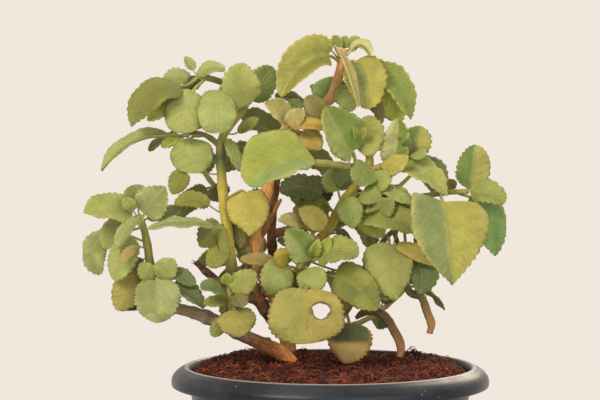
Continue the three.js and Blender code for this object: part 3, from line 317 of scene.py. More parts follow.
# Looks: the tint of the half that the look's direction, right and up, points away from, then of the half
# that it points to, the direction, the margin's tint, and that of the end half where it differs. The two
# halves are mostly painted light and shade: the lighter half stands for the side of the blade that the
# light falls on, the darker one for the side turned from it. Many looks are lighter than the leaves' own
# colour, painted light that makes up for the shade inside the bush, deep most of all. The darkest look is
# painted shade for leaves deep in the bush, and the look with a pale left half has that half as painted
# light.
LOOKS = """
olive: 146 150 66, 132 136 60, 1 -1, 156 146 74
mid: 154 162 86, 144 152 80, 1 -1, 162 164 90
frost: 164 172 112, 144 152 90, 0 -1, 174 178 122
bright: 150 166 68, 160 170 76, 1 0, 166 170 82
fresh: 160 170 92, 166 172 96, 1 -1, 172 174 100
green: 142 160 86, 126 146 76, 0 -1, 164 172 98
forest: 114 130 76, 104 120 68, 0 -1, 122 134 70
deep: 214 218 108, 222 222 112, 1 0, 138 134 64
shade: 104 122 78, 116 130 84, 0 1, 128 136 90
night: 66 78 38, 72 82 42, 0 1, 90 96 50
umber: 110 100 56, 122 112 60, 1 0, 128 108 60
pale: 166 174 102, 160 170 96, 1 -1, 172 172 102
striped: 168 174 108, 122 138 66, 0 -1, 172 174 110
shaded: 112 122 66, 150 152 70, 1 0, 150 152 80
yellow: 184 168 70, 174 158 64, 1 0, 176 150 68
wilted: 192 186 92, 186 176 86, 1 0, 178 150 78
straw: 192 178 98, 182 168 86, 1 0, 188 160 88
gold: 200 178 88, 186 162 74, 0 -1, 192 156 76
blond: 202 192 128, 188 176 108, 1 0, 204 190 128
tan: 172 154 88, 156 142 74, 1 0, 174 142 84
sallow: 172 160 82, 160 150 74, 1 0, 168 148 78
flushed: 206 206 138, 128 150 70, 1 0, 190 188 110
dusk: 130 136 58, 118 124 52, 1 -1, 150 146 74
blue: 142 172 102, 132 164 94, 1 0, 160 178 112
sunlit: 146 164 96, 160 166 74, 0 1, 168 172 90
valley: 146 146 66, 176 176 90, -1 1, 184 168 84
split: 142 150 90, 182 174 86, 1 0, 190 176 78
rimmed: 126 144 70, 132 146 70, 1 0, 190 178 86
halved: 168 178 108, 122 146 70, 1 0, 172 174 94
turncoat: 118 146 76, 176 174 96, 1 0, 162 158 86
lit_top: 118 130 62, 204 200 140, 0 1, 196 190 120
large: 138 154 96, 172 170 80, 1 0, 184 178 104
holed: 160 160 80, 168 156 78, 1 0, 174 156 82
dulled: 166 172 98, 158 164 92, 1 -1, 172 170 104
scorched: 74 82 50, 104 112 72, 1 0, 196 150 92, 206 174 108
back: 140 150 78, 126 140 70, 1 0, 152 156 84
"""

# ---------------------------------------------------------------- numbers


def numbers(text):
    """The number or numbers in each of the fields of a table's line, which commas part."""
    return [[float(number) for number in field.split()] for field in text.split(",")]


LOOKS = {name: numbers(look) for name, look in (line.split(":") for line in LOOKS.strip().splitlines())}


def seen(places):
    """The row frame's points, in millimetres, of places as they are seen from the front."""
    across, up, behind = np.array(places, float).T
    spots = stacked(across, 0, SOIL_LINE + up) - EYE
    return EYE + spots * ((behind - EYE[1]) / -EYE[1])[:, None]


def unit(v):
    return v / np.maximum(np.linalg.norm(v, axis=-1, keepdims=True), 1e-9)


def linear(tint):
    """A screen tint, 0 to 255, as linear light."""
    tint = np.asarray(tint, float) / 255
    return np.where(tint <= 0.04045, tint / 12.92, ((tint + 0.055) / 1.055) ** 2.4)


def shown(tint):
    """The colour of a surface that shows as that screen tint under the studio's lights."""
    return linear(tint) * SHOWN


def stacked(x, y, z):
    """Points from their coordinates, which spread over one another's shapes."""
    return np.stack(np.broadcast_arrays(x, y, z), -1)


def ease(low, high, x):
    x = np.clip((x - low) / (high - low), 0, 1)
    return x * x * (3 - 2 * x)


def blend(a, b, share):
    """Tints a and b mixed, with a share for each point."""
    return a + (b - a) * np.asarray(share)[..., None]


def hashed(cells, seed):
    """A number from -1 to 1 for each whole-numbered cell."""
    x, y, z = (cells[..., i].astype(np.int64) for i in range(3))
    n = (x * 73856093) ^ (y * 19349663) ^ (z * 83492791) ^ (seed * 2654435761)
    n = (n ^ (n >> 13)) * 1274126177
    return ((n ^ (n >> 16)) & 0xFFFF) / 32767.5 - 1


def noise(points, size, seed=0):
    """Smooth noise from -1 to 1, with lumps of about that size."""
    spots = np.asarray(points, float) / size
    cells = np.floor(spots)
    part = spots - cells
    part = part * part * (3 - 2 * part)
    total = 0
    for corner in np.ndindex(2, 2, 2):
        weight = np.prod(np.where(corner, part, 1 - part), axis=-1)
        total = total + weight * hashed(cells + corner, seed)
    return total


def smooth(places, step):
    """Points about every step along a centripetal Catmull-Rom curve through the places."""
    p = np.array(places, float)
    p = np.vstack([2 * p[0] - p[1], p, 2 * p[-1] - p[-2]])
    gaps = np.linalg.norm(np.diff(p, axis=0), axis=1) ** 0.5
    share = np.linspace(0, 1, 25)[:-1, None]
    line = []
    for i in range(1, len(p) - 2):
        a, b, c = gaps[i - 1 : i + 2]
        leave = ((p[i] - p[i - 1]) / a - (p[i + 1] - p[i - 1]) / (a + b) + (p[i + 1] - p[i]) / b) * b
        reach = ((p[i + 1] - p[i]) / b - (p[i + 2] - p[i]) / (b + c) + (p[i + 2] - p[i + 1]) / c) * b
        cubic = 2 * p[i] - 2 * p[i + 1] + leave + reach
        square = -3 * p[i] + 3 * p[i + 1] - 2 * leave - reach
        line.append(cubic * share**3 + square * share**2 + leave * share + p[i])
    return spaced(np.vstack([*line, p[-2:-1]]), step)


def spaced(line, step):
    """The line's points spread evenly, about step apart."""
    run = np.concatenate([[0], np.cumsum(np.linalg.norm(np.diff(line, axis=0), axis=1))])
    marks = np.linspace(0, run[-1], max(int(round(run[-1] / step)), 2) + 1)
    return np.stack([np.interp(marks, run, line[:, i]) for i in range(3)], -1)


def frames_of(line):
    """Its way, and two directions across it that turn as little as they can, at each point of a line."""
    way = unit(np.gradient(line, axis=0))
    side = np.empty_like(line)
    first = np.cross(way[0], [0.0, 1.0, 0.0])
    side[0] = unit(first if np.linalg.norm(first) > 0.1 else np.cross(way[0], [1.0, 0.0, 0.0]))
    for i in range(1, len(line)):
        side[i] = unit(side[i - 1] - way[i] * side[i - 1].dot(way[i]))
    return way, side, np.cross(way, side)


# ---------------------------------------------------------------- meshes


class Piece:
    """The bodies of one piece: their points, quads, triangles, paint, and places on a leaf or stem."""

    def __init__(self):
        self.points, self.quads, self.triangles, self.paint, self.grain = [], [], [], [], []
        self.count = 0

    def add(self, points, quads, triangles, paint, grain):
        self.points.append(points)
        self.quads.append(np.reshape(quads, (-1, 4)) + self.count)
        self.triangles.append(np.reshape(triangles, (-1, 3)) + self.count)
        self.paint.append(np.broadcast_to(paint, points.shape))
        self.grain.append(np.broadcast_to(grain, points.shape))
        self.count += len(points)

    def mesh(self, name):
        quads, triangles = np.concatenate(self.quads), np.concatenate(self.triangles)
        corners = np.concatenate([quads.ravel(), triangles.ravel()]).astype(np.int64)
        used, corners = np.unique(corners, return_inverse=True)
        made = bpy.data.meshes.new(name)
        made.vertices.add(len(used))
        made.vertices.foreach_set("co", (np.concatenate(self.points)[used] * MM).ravel())
        made.loops.add(len(corners))
        made.loops.foreach_set("vertex_index", corners.ravel().astype(np.int32))
        starts = np.concatenate([np.arange(len(quads)) * 4, len(quads) * 4 + np.arange(len(triangles)) * 3])
        made.polygons.add(len(starts))
        made.polygons.foreach_set("loop_start", starts.astype(np.int32))
        made.polygons.foreach_set("use_smooth", np.ones(len(starts), bool))
        made.update(calc_edges=True)
        paint = made.attributes.new("paint", "FLOAT_COLOR", "POINT")
        rgb = np.concatenate(self.paint)[used]
        paint.data.foreach_set("color", np.hstack([rgb, np.ones((len(rgb), 1))]).ravel())
        grain = made.attributes.new("grain", "FLOAT_VECTOR", "POINT")
        grain.data.foreach_set("vector", np.concatenate(self.grain)[used].ravel())
        return made


def put(name, data):
    """A new object in the scene."""
    made = bpy.data.objects.new(name, data)
    bpy.context.scene.collection.objects.link(made)
    return made


def dress(name, mesh, material, node):
    """Puts a mesh into the scene as the piece that stands for a node."""
    piece = put(name, mesh)
    piece.data.materials.append(material)
    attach(piece, "root")
    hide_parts(node)
    return piece


def grid_quads(rows, columns, around=False):
    """Quads between neighbouring points of a grid, whose columns close into a ring if it goes around."""
    i, j = np.meshgrid(np.arange(rows - 1), np.arange(columns if around else columns - 1), indexing="ij")
    k = (j + 1) % columns
    return np.stack([i * columns + j, i * columns + k, (i + 1) * columns + k, (i + 1) * columns + j], -1)


def turns(sides):
    return 2 * np.pi * np.arange(sides) / sides


def circles(radii, heights, sides):
    """Rings of points about the pot's axis, one for each radius and height."""
    turn, radii = turns(sides), np.reshape(radii, (-1, 1))
    return stacked(radii * np.cos(turn), radii * np.sin(turn), np.reshape(heights, (-1, 1)))


def closed(piece, rings, ends, paint=0, grain=0, flip=False):
    """Adds a closed body: rings of points, and one point more to close it at each end."""
    count, sides = rings.shape[:2]
    near = np.arange(sides)
    after, last = (near + 1) % sides, (count - 1) * sides
    quads = grid_quads(count, sides, around=True)
    fans = np.concatenate([np.stack([0 * near + count * sides, after, near], -1),
                           np.stack([0 * near + count * sides + 1, last + near, last + after], -1)])
    way = -1 if flip else 1
    piece.add(np.vstack([rings.reshape(-1, 3), ends]), quads[..., ::way], fans[..., ::way], paint, grain)


def sheet_points(rows, columns):
    """Numbers of the points over and under a thin sheet, which share its border."""
    over = np.arange(rows * columns).reshape(rows, columns)
    under = over + rows * columns
    under[[0, -1]], under[:, [0, -1]] = over[[0, -1]], over[:, [0, -1]]
    return over, under


def cells(ids):
    return np.stack([ids[:-1, :-1], ids[1:, :-1], ids[1:, 1:], ids[:-1, 1:]], -1)


def tube(piece, line, radii, sides, paint, seed=0):
    """Adds a closed round body along a line. radii hold one number for each point, or for each point and
    side, and paint one tint in all, for each point, or for each point and side."""
    way, side, over = frames_of(line)
    count = len(line)
    turn = turns(sides)
    radii = np.broadcast_to(np.reshape(radii, (count, -1)), (count, sides))
    paint = np.asarray(paint, float)
    paint = paint[:, None] if paint.ndim == 2 else paint
    out = side[:, None] * np.cos(turn)[:, None] + over[:, None] * np.sin(turn)[:, None]
    rings = line[:, None] + out * radii[..., None]
    ends = [line[0] - way[0] * radii[0].mean() * 0.3, line[-1] + way[-1] * radii[-1].mean() * 0.3]
    run = np.concatenate([[0], np.cumsum(np.linalg.norm(np.diff(line, axis=0), axis=1))])
    grain = stacked(run[:, None], turn * radii.mean(), seed).reshape(-1, 3)
    paint = np.broadcast_to(paint, (count, sides, 3)).reshape(-1, 3)
    paint, grain = (np.vstack([values, values[0], values[-1]]) for values in (paint, grain))
    closed(piece, rings, ends, paint, grain)


# ---------------------------------------------------------------- materials


class Shading:
    """A material and short ways to add nodes to it."""

    def __init__(self, name):
        self.material = bpy.data.materials.new(name)
        self.material.use_nodes = True
        self.tree = self.material.node_tree
        self.surface = self.tree.nodes["Principled BSDF"]
        self.grain = self.attribute("grain", "Vector")
        self.paint = self.attribute("paint", "Color")

    def attribute(self, name, socket):
        found = self.node("ShaderNodeAttribute")
        found.attribute_name = name
        return found.outputs[socket]

    def node(self, kind, inputs=(), **settings):
        made = self.tree.nodes.new(kind)
        for key, value in settings.items():
            setattr(made, key, value)
        for key, value in dict(inputs).items():
            self.feed(made.inputs[key], value)
        return made

    def feed(self, socket, value):
        if isinstance(value, bpy.types.NodeSocket):
            self.tree.links.new(value, socket)
        else:
            socket.default_value = value

    def math(self, operation, *values):
        return self.node("ShaderNodeMath", enumerate(values), operation=operation).outputs[0]

    def times(self, a, b):
        return self.math("MULTIPLY", a, b)

    def plus(self, a, b):
        return self.math("ADD", a, b)

    def minus(self, a, b):
        return self.math("SUBTRACT", a, b)

    def parts(self, vector):
        return self.node("ShaderNodeSeparateXYZ", {0: vector}).outputs

    def vector(self, x, y, z):
        return self.node("ShaderNodeCombineXYZ", {0: x, 1: y, 2: z}).outputs[0]

    def fade(self, value, low, high, start=0.0, end=1.0):
        inputs = {"Value": value, "From Min": low, "From Max": high, "To Min": start, "To Max": end}
        return self.node("ShaderNodeMapRange", inputs, interpolation_type="SMOOTHSTEP").outputs[0]

    def mix(self, share, a, b, blend_type="MIX"):
        made = self.node("ShaderNodeMix", data_type="RGBA", blend_type=blend_type)
        colours = [socket for socket in made.inputs if socket.type == "RGBA"]
        for socket, value in zip([made.inputs[0], *colours], (share, a, b)):
            self.feed(socket, value)
        return next(socket for socket in made.outputs if socket.type == "RGBA")

    def wash(self, base, share, amount, tint):
        """The base with a screen tint laid over it."""
        return self.mix(self.times(share, amount), base, rgba(tint))

    def noise(self, place, scale, detail=3.0, roughness=0.55):
        inputs = {"Vector": place, "Scale": scale, "Detail": detail, "Roughness": roughness}
        return self.node("ShaderNodeTexNoise", inputs).outputs["Fac"]

    def cells(self, place, scale, feature="DISTANCE_TO_EDGE"):
        inputs = {"Vector": place, "Scale": scale}
        return self.node("ShaderNodeTexVoronoi", inputs, feature=feature).outputs[0]

    def bump(self, height, distance):
        return self.node("ShaderNodeBump", {"Height": height, "Distance": distance}).outputs[0]

    def finish(self, **inputs):
        for key, value in inputs.items():
            self.feed(self.surface.inputs[key.replace("_", " ")], value)
        return self.material


def rgba(tint):
    return (*shown(tint), 1.0)


def leaf_material():
    """Soft, finely haired leaf: pale sunk veins with a net between them, and a velvet bloom."""
    s = Shading("leaf")
    along, out, _ = s.parts(s.grain)
    out = s.math("ABSOLUTE", out)
    step = s.minus(along, s.times(out, 0.85))
    wander = s.times(s.noise(s.grain, 0.12, 2.0), 2.4)
    ladder = s.math("FRACT", s.plus(s.math("DIVIDE", step, 5.2), wander))
    side_vein = s.fade(s.math("ABSOLUTE", s.minus(ladder, 0.5)), 0.02, 0.11, 1, 0)
    midrib = s.fade(out, 0.25, 0.8, 1, 0)
    net = s.fade(s.cells(s.grain, 0.62), 0.03, 0.16, 1, 0)
    veins = s.math("MAXIMUM", midrib, s.times(side_vein, 0.75))
    mottled = s.fade(s.noise(s.grain, 0.22, 4.0), 0.3, 0.7)
    specks = s.fade(s.noise(s.grain, 1.3, 2.0), 0.70, 0.76)
    base = s.mix(s.fade(mottled, 0, 1, 0, 0.4), s.paint, (0.72, 0.78, 0.6, 1), "MULTIPLY")
    base = s.wash(base, net, 0.07, (190, 196, 130))
    base = s.wash(base, veins, 0.10, (196, 200, 130))
    base = s.wash(base, specks, 0.35, (110, 96, 50))
    hairs = s.noise(s.grain, 4.5, 2.0, 0.7)
    relief = s.minus(s.times(hairs, 0.25), s.times(veins, 0.55))
    relief = s.minus(relief, s.times(net, 0.22))
    s.finish(Base_Color=base, Roughness=s.fade(hairs, 0.2, 0.8, 0.52, 0.72), Normal=s.bump(relief, 0.0005))
    s.finish(Sheen_Weight=0.12, Sheen_Roughness=0.4, Sheen_Tint=rgba((228, 236, 196)), Specular_IOR_Level=0.3)
    return s.finish(Subsurface_Weight=0.18, Subsurface_Radius=(0.6, 1.0, 0.25), Subsurface_Scale=0.0016)


def stem_material():
    """Green stems: finely haired, streaked along their length."""
    s = Shading("green_stem")
    along, around, seed = s.parts(s.grain)
    streaks = s.noise(s.vector(s.times(along, 0.25), s.times(around, 1.6), seed), 0.9, 3.0)
    scars = s.fade(s.noise(s.grain, 0.35, 3.0), 0.62, 0.72)
    base = s.mix(s.fade(streaks, 0.3, 0.7, 0.0, 0.55), s.paint, (0.66, 0.66, 0.5, 1), "MULTIPLY")
    base = s.wash(base, scars, 0.4, (134, 100, 62))
    hairs = s.noise(s.grain, 3.5, 2.0, 0.7)
    relief = s.plus(s.times(hairs, 0.3), s.times(streaks, 0.5))
    s.finish(Base_Color=base, Roughness=s.fade(hairs, 0.2, 0.8, 0.5, 0.72), Normal=s.bump(relief, 0.0006))
    s.finish(Sheen_Weight=0.25, Sheen_Roughness=0.4, Sheen_Tint=rgba((228, 232, 200)))
    s.finish(Specular_IOR_Level=0.35)
    return s.finish(Subsurface_Weight=0.1, Subsurface_Radius=(0.8, 1.0, 0.3), Subsurface_Scale=0.0014)


def bark_material(name, pale, fissure):
    """Bark: long shallow cracks, scales between them and pale corky dots."""
    s = Shading(name)
    along, around, seed = s.parts(s.grain)
    stretched = s.vector(s.times(along, 0.22), around, seed)
    fibres = s.noise(stretched, 1.1, 5.0, 0.62)
    cracks = s.fade(s.cells(stretched, 0.55), 0.02, 0.14, 1, 0)
    patches = s.fade(s.noise(s.grain, 0.13, 3.0), 0.38, 0.64)
    corks = s.fade(s.cells(s.vector(s.times(along, 1.5), around, seed), 0.34, "F1"), 0.10, 0.2, 1, 0)
    base = s.mix(s.fade(fibres, 0.3, 0.72, 0, 0.6), s.paint, (0.62, 0.55, 0.5, 1), "MULTIPLY")
    base = s.wash(base, patches, 0.35, pale)
    base = s.wash(base, cracks, 0.22, fissure)
    base = s.wash(base, corks, 0.55, pale)
    relief = s.plus(fibres, s.times(corks, 0.4))
    relief = s.minus(relief, s.times(cracks, 0.4))
    rough = s.fade(fibres, 0.2, 0.8, 0.62, 0.9)
    return s.finish(Base_Color=base, Roughness=rough, Normal=s.bump(relief, 0.0009), Specular_IOR_Level=0.3)


def coir_material():
    """Coir: each crumb and fibre has its own tint, with a damp, matted grain."""
    s = Shading("coir")
    fine = s.noise(s.grain, 1.4, 5.0, 0.65)
    wide = s.noise(s.grain, 0.12, 2.0)
    base = s.mix(s.fade(fine, 0.3, 0.7, 0.1, 0.85), s.paint, (0.34, 0.28, 0.28, 1), "MULTIPLY")
    base = s.mix(s.fade(wide, 0.45, 0.7, 0, 0.35), base, rgba((62, 26, 20)))
    relief = s.bump(fine, 0.0016)
    return s.finish(Base_Color=base, Roughness=s.fade(fine, 0.2, 0.8, 0.7, 0.98), Normal=relief,
                    Specular_IOR_Level=0.25)


def plastic_material():
    """Dark glossy plastic, dusty on its upper edges, with dried splashes and fine scuffs, and a painted
    highlight along the lip's inner top edge.
    """
    s = Shading("pot_plastic")
    place = s.node("ShaderNodeTexCoord").outputs["Object"]
    x, y, z = s.parts(place)
    turn = s.math("ARCTAN2", y, x)
    up = s.parts(s.node("ShaderNodeNewGeometry").outputs["Normal"])[2]
    cloudy = s.noise(place, 38.0, 4.0)
    grains = s.noise(place, 900.0, 2.0, 0.7)
    spread = s.vector(s.times(turn, 2.6), s.times(z, 160.0), 0.0)
    reach = s.math("SQRT", s.plus(s.times(x, x), s.times(y, y)))
    # A thin pale line round the inner top edge of the lip: a painted highlight.
    painted_lip_highlight = s.fade(s.math("ABSOLUTE", s.minus(reach, (LIP_RADIUS + 0.6) * MM)), 0.6 * MM, 1.8 * MM, 1, 0)
    painted_lip_highlight = s.times(painted_lip_highlight, s.fade(z, (POT_HEIGHT - 3) * MM, (POT_HEIGHT - 1) * MM))
    near_rim = s.fade(z, (POT_HEIGHT - 40) * MM, (POT_HEIGHT - RIM_DROP) * MM, 0.15, 1.0)
    scuffs = s.fade(s.noise(spread, 5.0, 4.0, 0.75), 0.62, 0.72)
    dust = s.times(s.fade(up, 0.25, 0.9), s.fade(cloudy, 0.35, 0.65, 0.35, 1.0))
    dust = s.times(dust, s.fade(grains, 0.3, 0.7, 0.5, 1.0))
    dots = s.fade(s.cells(place, 260.0, "F1"), 0.10, 0.16, 1, 0)
    splash = s.times(dots, s.fade(s.noise(place, 30.0, 2.0), 0.5, 0.62))
    splash = s.times(splash, near_rim)
    base = s.mix(s.fade(cloudy, 0.3, 0.7), rgba((26, 31, 40)), rgba((42, 48, 60)))
    base = s.wash(base, dust, 0.10, (140, 142, 146))
    # the painted highlight along the lip
    base = s.wash(base, painted_lip_highlight, 0.55, (214, 200, 202))
    base = s.wash(base, splash, 0.7, (188, 186, 178))
    base = s.wash(base, scuffs, 0.22, (120, 124, 130))
    rough = s.plus(s.fade(cloudy, 0.3, 0.7, 0.26, 0.38), s.times(dust, 0.1))
    rough = s.plus(rough, s.times(scuffs, 0.18))
    relief = s.plus(s.times(grains, 0.25), s.times(splash, 0.6))
    return s.finish(Base_Color=base, Roughness=rough, Normal=s.bump(relief, 0.00035), Specular_IOR_Level=0.22)


def floor_material():
    s = Shading("floor")
    place = s.node("ShaderNodeTexCoord").outputs["Object"]
    base = s.mix(s.noise(place, 6.0), rgba((226, 222, 216)), rgba((232, 228, 222)))
    return s.finish(Base_Color=base, Roughness=0.7)


# ---------------------------------------------------------------- pot


def pot_outline():
    """The turned outline as [radius, height], round the section once, with its corners rounded off."""
    top = POT_HEIGHT
    inner = [
        [0, WALL + 1], [BASE_RADIUS - WALL - 2, WALL + 1], [BASE_RADIUS - WALL, WALL + 3],
        [NECK_RADIUS - WALL, top - RIM_DROP], [LIP_RADIUS - 2, top - 3], [LIP_RADIUS - 0.6, top],
    ]
    rim = [
        [LIP_RADIUS + 1.2, top], [LIP_RADIUS + 2.5, top - 0.8], [LIP_RADIUS + 6, top - 2.4],
        [RIM_RADIUS - 1.2, top - 5.2], [RIM_RADIUS, top - 7.5], [RIM_RADIUS, top - RIM_DROP],
        [RIM_RADIUS - 2, top - RIM_DROP], [RIM_RADIUS - 3.2, top - 7.5], [LIP_RADIUS + 1, top - 4],
    ]
    outer = [
        [NECK_RADIUS + 0.5, top - RIM_DROP - 2], [NECK_RADIUS - 5, 98], [NECK_RADIUS - 5.6, 96],
        [BASE_RADIUS + 2, 12], [BASE_RADIUS, 9], [BASE_RADIUS - 1, 0], [0, 0],
    ]
    line = np.array(inner + rim + outer, float)
    for _ in range(3):
        a, b = line[:-1], line[1:]
        cut = np.stack([0.75 * a + 0.25 * b, 0.25 * a + 0.75 * b], 1).reshape(-1, 2)
        line = np.vstack([line[:1], cut, line[-1:]])
    return line[1:-1]


def pot(material):
    radius, height = pot_outline()[::-1].T
    made = Piece()
    closed(made, circles(radius, height, 180), [[0, 0, height[0]], [0, 0, height[-1]]])
    piece = dress("pot_shell", made.mesh("pot_shell"), material, "pot")
    drills = Piece()
    for i in range(DRAIN_HOLES):
        at = 2 * math.pi * i / DRAIN_HOLES
        foot = np.array([DRAIN_CIRCLE * math.cos(at), DRAIN_CIRCLE * math.sin(at), -5.0])
        tube(drills, foot + np.outer([0, 7, 14], [0, 0, 1.0]), np.full(3, float(DRAIN_RADIUS)), 28, 0)
    drill = put("drill", drills.mesh("drill"))
    cut = piece.modifiers.new("drain_holes", "BOOLEAN")
    cut.object, cut.operation, cut.solver = drill, "DIFFERENCE", "EXACT"
    bpy.context.view_layer.update()
    cut_mesh = bpy.data.meshes.new_from_object(piece.evaluated_get(bpy.context.evaluated_depsgraph_get()))
    piece.modifiers.clear()
    piece.data = cut_mesh
    bpy.data.objects.remove(drill)


# ---------------------------------------------------------------- soil


def soil_height(x, y):
    """How high the coir stands: banked round the trunk, heaped against the rim at the back right."""
    def bank(px, py, high, wide):
        return high * np.exp(-((x - px) ** 2 + (y - py) ** 2) / (2 * wide**2))
    lumps = 0.7 * np.sin(x / 7.3 + 1) * np.sin(y / 6.1)
    level = 3.4 + bank(-38, 22, 7.5, 24) + bank(62, 44, 4, 20) - bank(34, 74, 3, 15)
    return SOIL_LINE + level + lumps - 2.6 * (np.hypot(x, y) / 87) ** 8


def soil_top(x, y):
    flat = stacked(x, y, 0)
    clods = 1.5 * noise(flat, 8.0, 3) + 1.5 * np.abs(noise(flat, 4.2, 4)) + 0.7 * noise(flat, 1.8, 5)
    return soil_height(x, y) + clods * (1 - ease(0.9, 1.0, np.hypot(x, y) / SOIL_RADIUS)) - 0.5


def coir(material):
    made = Piece()
    rng = np.random.default_rng(7)
    bed = circles(SOIL_RADIUS * np.linspace(0.01, 1, BED_RINGS), 0, BED_SIDES)
    bed[..., 2] = soil_top(bed[..., 0], bed[..., 1])
    walls = circles([NECK_RADIUS - WALL - 0.5, BASE_RADIUS - WALL - 1, BASE_RADIUS - WALL - 3],
                    [POT_HEIGHT - RIM_DROP, WALL + 3, SOIL_FLOOR], BED_SIDES)
    rings = np.concatenate([bed, walls])
    ends = [[0, 0, soil_top(np.zeros(1), np.zeros(1))[0]], [0, 0, SOIL_FLOOR]]
    points = np.vstack([rings.reshape(-1, 3), ends])
    tint = blend(shown((118, 50, 36)), shown((40, 16, 14)), 0.5 + 0.5 * noise(points, 4.0, 8))
    closed(made, rings, ends, tint, points, flip=True)
    crumbs(made, rng)
    fibres(made, rng)
    dress("coir_bed", made.mesh("coir_bed"), material, "soil")


def soil_spots(rng, count):
    """Random places on the coir, in from the pot's wall."""
    radius = (SOIL_RADIUS - 3) * np.sqrt(rng.random(count))
    turn = 2 * np.pi * rng.random(count)
    x, y = radius * np.cos(turn), radius * np.sin(turn)
    return stacked(x, y, soil_top(x, y))


def crumbs(made, rng, count=2600):
    """Irregular crumbs of pith, half sunk in the bed."""
    rings, sides = 3, 6
    for spot in soil_spots(rng, count):
        size = 0.55 + 1.5 * rng.random() ** 2.5
        squash = rng.uniform(0.6, 1.3, 3)
        lean = np.pi * np.arange(1, rings + 1)[:, None] / (rings + 1)
        turn = turns(sides) + rng.random() * 6
        ball = stacked(np.sin(lean) * np.cos(turn), np.sin(lean) * np.sin(turn), np.cos(lean)).reshape(-1, 3)
        ball = np.vstack([ball, [0, 0, 1], [0, 0, -1]])
        ball = ball * squash * size * rng.uniform(0.72, 1.2, (len(ball), 1)) + spot + [0, 0, size * 0.25]
        tint = blend(shown((178, 80, 54)), shown((44, 18, 16)), rng.random() ** 0.55)
        closed(made, ball[:-2].reshape(rings, sides, 3), ball[-2:], tint, spot, flip=True)


def fibres(made, rng, count=1100):
    """Coir fibres that lie curled over the bed."""
    for spot in soil_spots(rng, count):
        length = rng.uniform(4, 16)
        heading, bend = rng.uniform(0, 2 * np.pi), rng.normal(0, 0.9)
        share = np.linspace(0, 1, 8)
        course = heading + bend * share
        steps = np.stack([np.cos(course), np.sin(course)], -1) * length / 7
        x, y = spot[:2, None] + np.cumsum(steps, axis=0).T
        inside = np.minimum(1, (SOIL_RADIUS - 2) / np.maximum(np.hypot(x, y), 1))
        x, y = x * inside, y * inside
        lift = rng.uniform(0.1, 2.2) * np.sin(np.pi * share) + rng.uniform(-0.3, 0.5)
        line = stacked(x, y, soil_top(x, y) + 0.5 + lift)
        if np.linalg.norm(np.diff(line, axis=0), axis=1).min() < 0.05:
            continue
        thick = rng.uniform(0.14, 0.34)
        light = rng.random() ** 2
        tint = blend(shown((128, 52, 38)), shown((244, 160, 122)), light)
        tube(made, line, thick * (1 - 0.6 * share), 5, tint)


# ---------------------------------------------------------------- woody stems


def stops(tints, share):
    """Tints spread evenly along a stem, at each share of its length."""
    marks = np.linspace(0, 1, len(tints))
    rgb = np.array([shown(TINTS[t]) for t in tints])
    return np.stack([np.interp(share, marks, rgb[:, i]) for i in range(3)], -1)


def woody(piece, stem, tints, seed, knots=17.0, sides=30, torn=False):
    """A woody stem with swollen joints, ridged bark, leaf scars and a flared foot."""
    places, foot, tip = stem
    line = smooth(seen(places), 0.9)
    share = np.linspace(0, 1, len(line))
    run = share * 0.9 * len(line)
    turn = turns(sides)
    radius = foot + (tip - foot) * share
    offset = (run / knots + 0.37 * seed) % 1 - 0.5
    radius = radius * (1 + 0.13 * np.exp(-((offset * knots / 2.1) ** 2)))
    round_ = stacked(run[:, None] * 0.28, 2.6 * np.cos(turn), 2.6 * np.sin(turn))
    ridges = noise(round_, 1.0, seed) * 0.10 + noise(round_, 0.45, seed + 1) * 0.05
    lumps = noise(stacked(run, 0, 0), 11.0, seed + 2) * 0.07
    scar_turn = 2.4 * np.floor(run / knots + 0.37 * seed)[:, None]
    scars = np.exp(-((offset[:, None] * knots / 1.5) ** 2)) * np.clip(np.cos(turn - scar_turn), 0, 1) ** 6
    radii = radius[:, None] * (1 + ridges + lumps[:, None] + 0.16 * scars)
    if torn:
        rag = 0.6 + 0.4 * np.sin(3 * turn + 8 * share[:, None])
        radii = radii * (1 - 0.55 * ease(0.82, 1.0, share)[:, None] * rag)
    paint = stops(tints, share)[:, None] * (1 + 0.22 * noise(round_, 0.8, seed + 3) - 0.35 * scars)[..., None]
    tube(piece, line, radii, sides, np.clip(paint, 0, 1), seed)


def splinters(piece, stem, tints, seed, count=7):
    """Torn fibres that stand out of a broken end."""
    line = smooth(seen(stem[0]), 0.9)
    end, way = line[-1], unit(line[-1] - line[-6])
    rng = np.random.default_rng(seed)
    for _ in range(count):
        out = unit(way + rng.normal(0, 0.38, 3))
        root = end - way * 2.0 + rng.normal(0, 0.5, 3) * stem[2] * 0.6
        reach = rng.uniform(2.5, 5.5)
        course = root + np.outer([0, 0.35, 0.7, 1.0], out) * reach
        tube(piece, course, np.array([0.5, 0.42, 0.26, 0.08]), 5, shown(TINTS[tints[-1]]), seed)


# ---------------------------------------------------------------- leaves


def table_leaves(table):
    """The leaves of a table: a line with a shoot's name and a note, then a line for each leaf on it."""
    made = []
    for line in table.strip().splitlines():
        if ":" in line:
            name = line.split(":")[0]
            continue
        places, form, look = line.rsplit(", ", 2)
        base, middle, tip, (width,), (right, front, up), (fold,) = numbers(places)
        made.append({"shoot": name, "rib": seen([base, middle, tip]), "width": width,
                     "face": np.array([right, -front, up]), "fold": fold, "form": form, "look": look})
    return made


def turned(v, axis, angle):
    """Vector v turned about a unit axis by an angle in radians."""
    along = axis * axis.dot(v)
    return (v - along) * math.cos(angle) + np.cross(axis, v) * math.sin(angle) + along


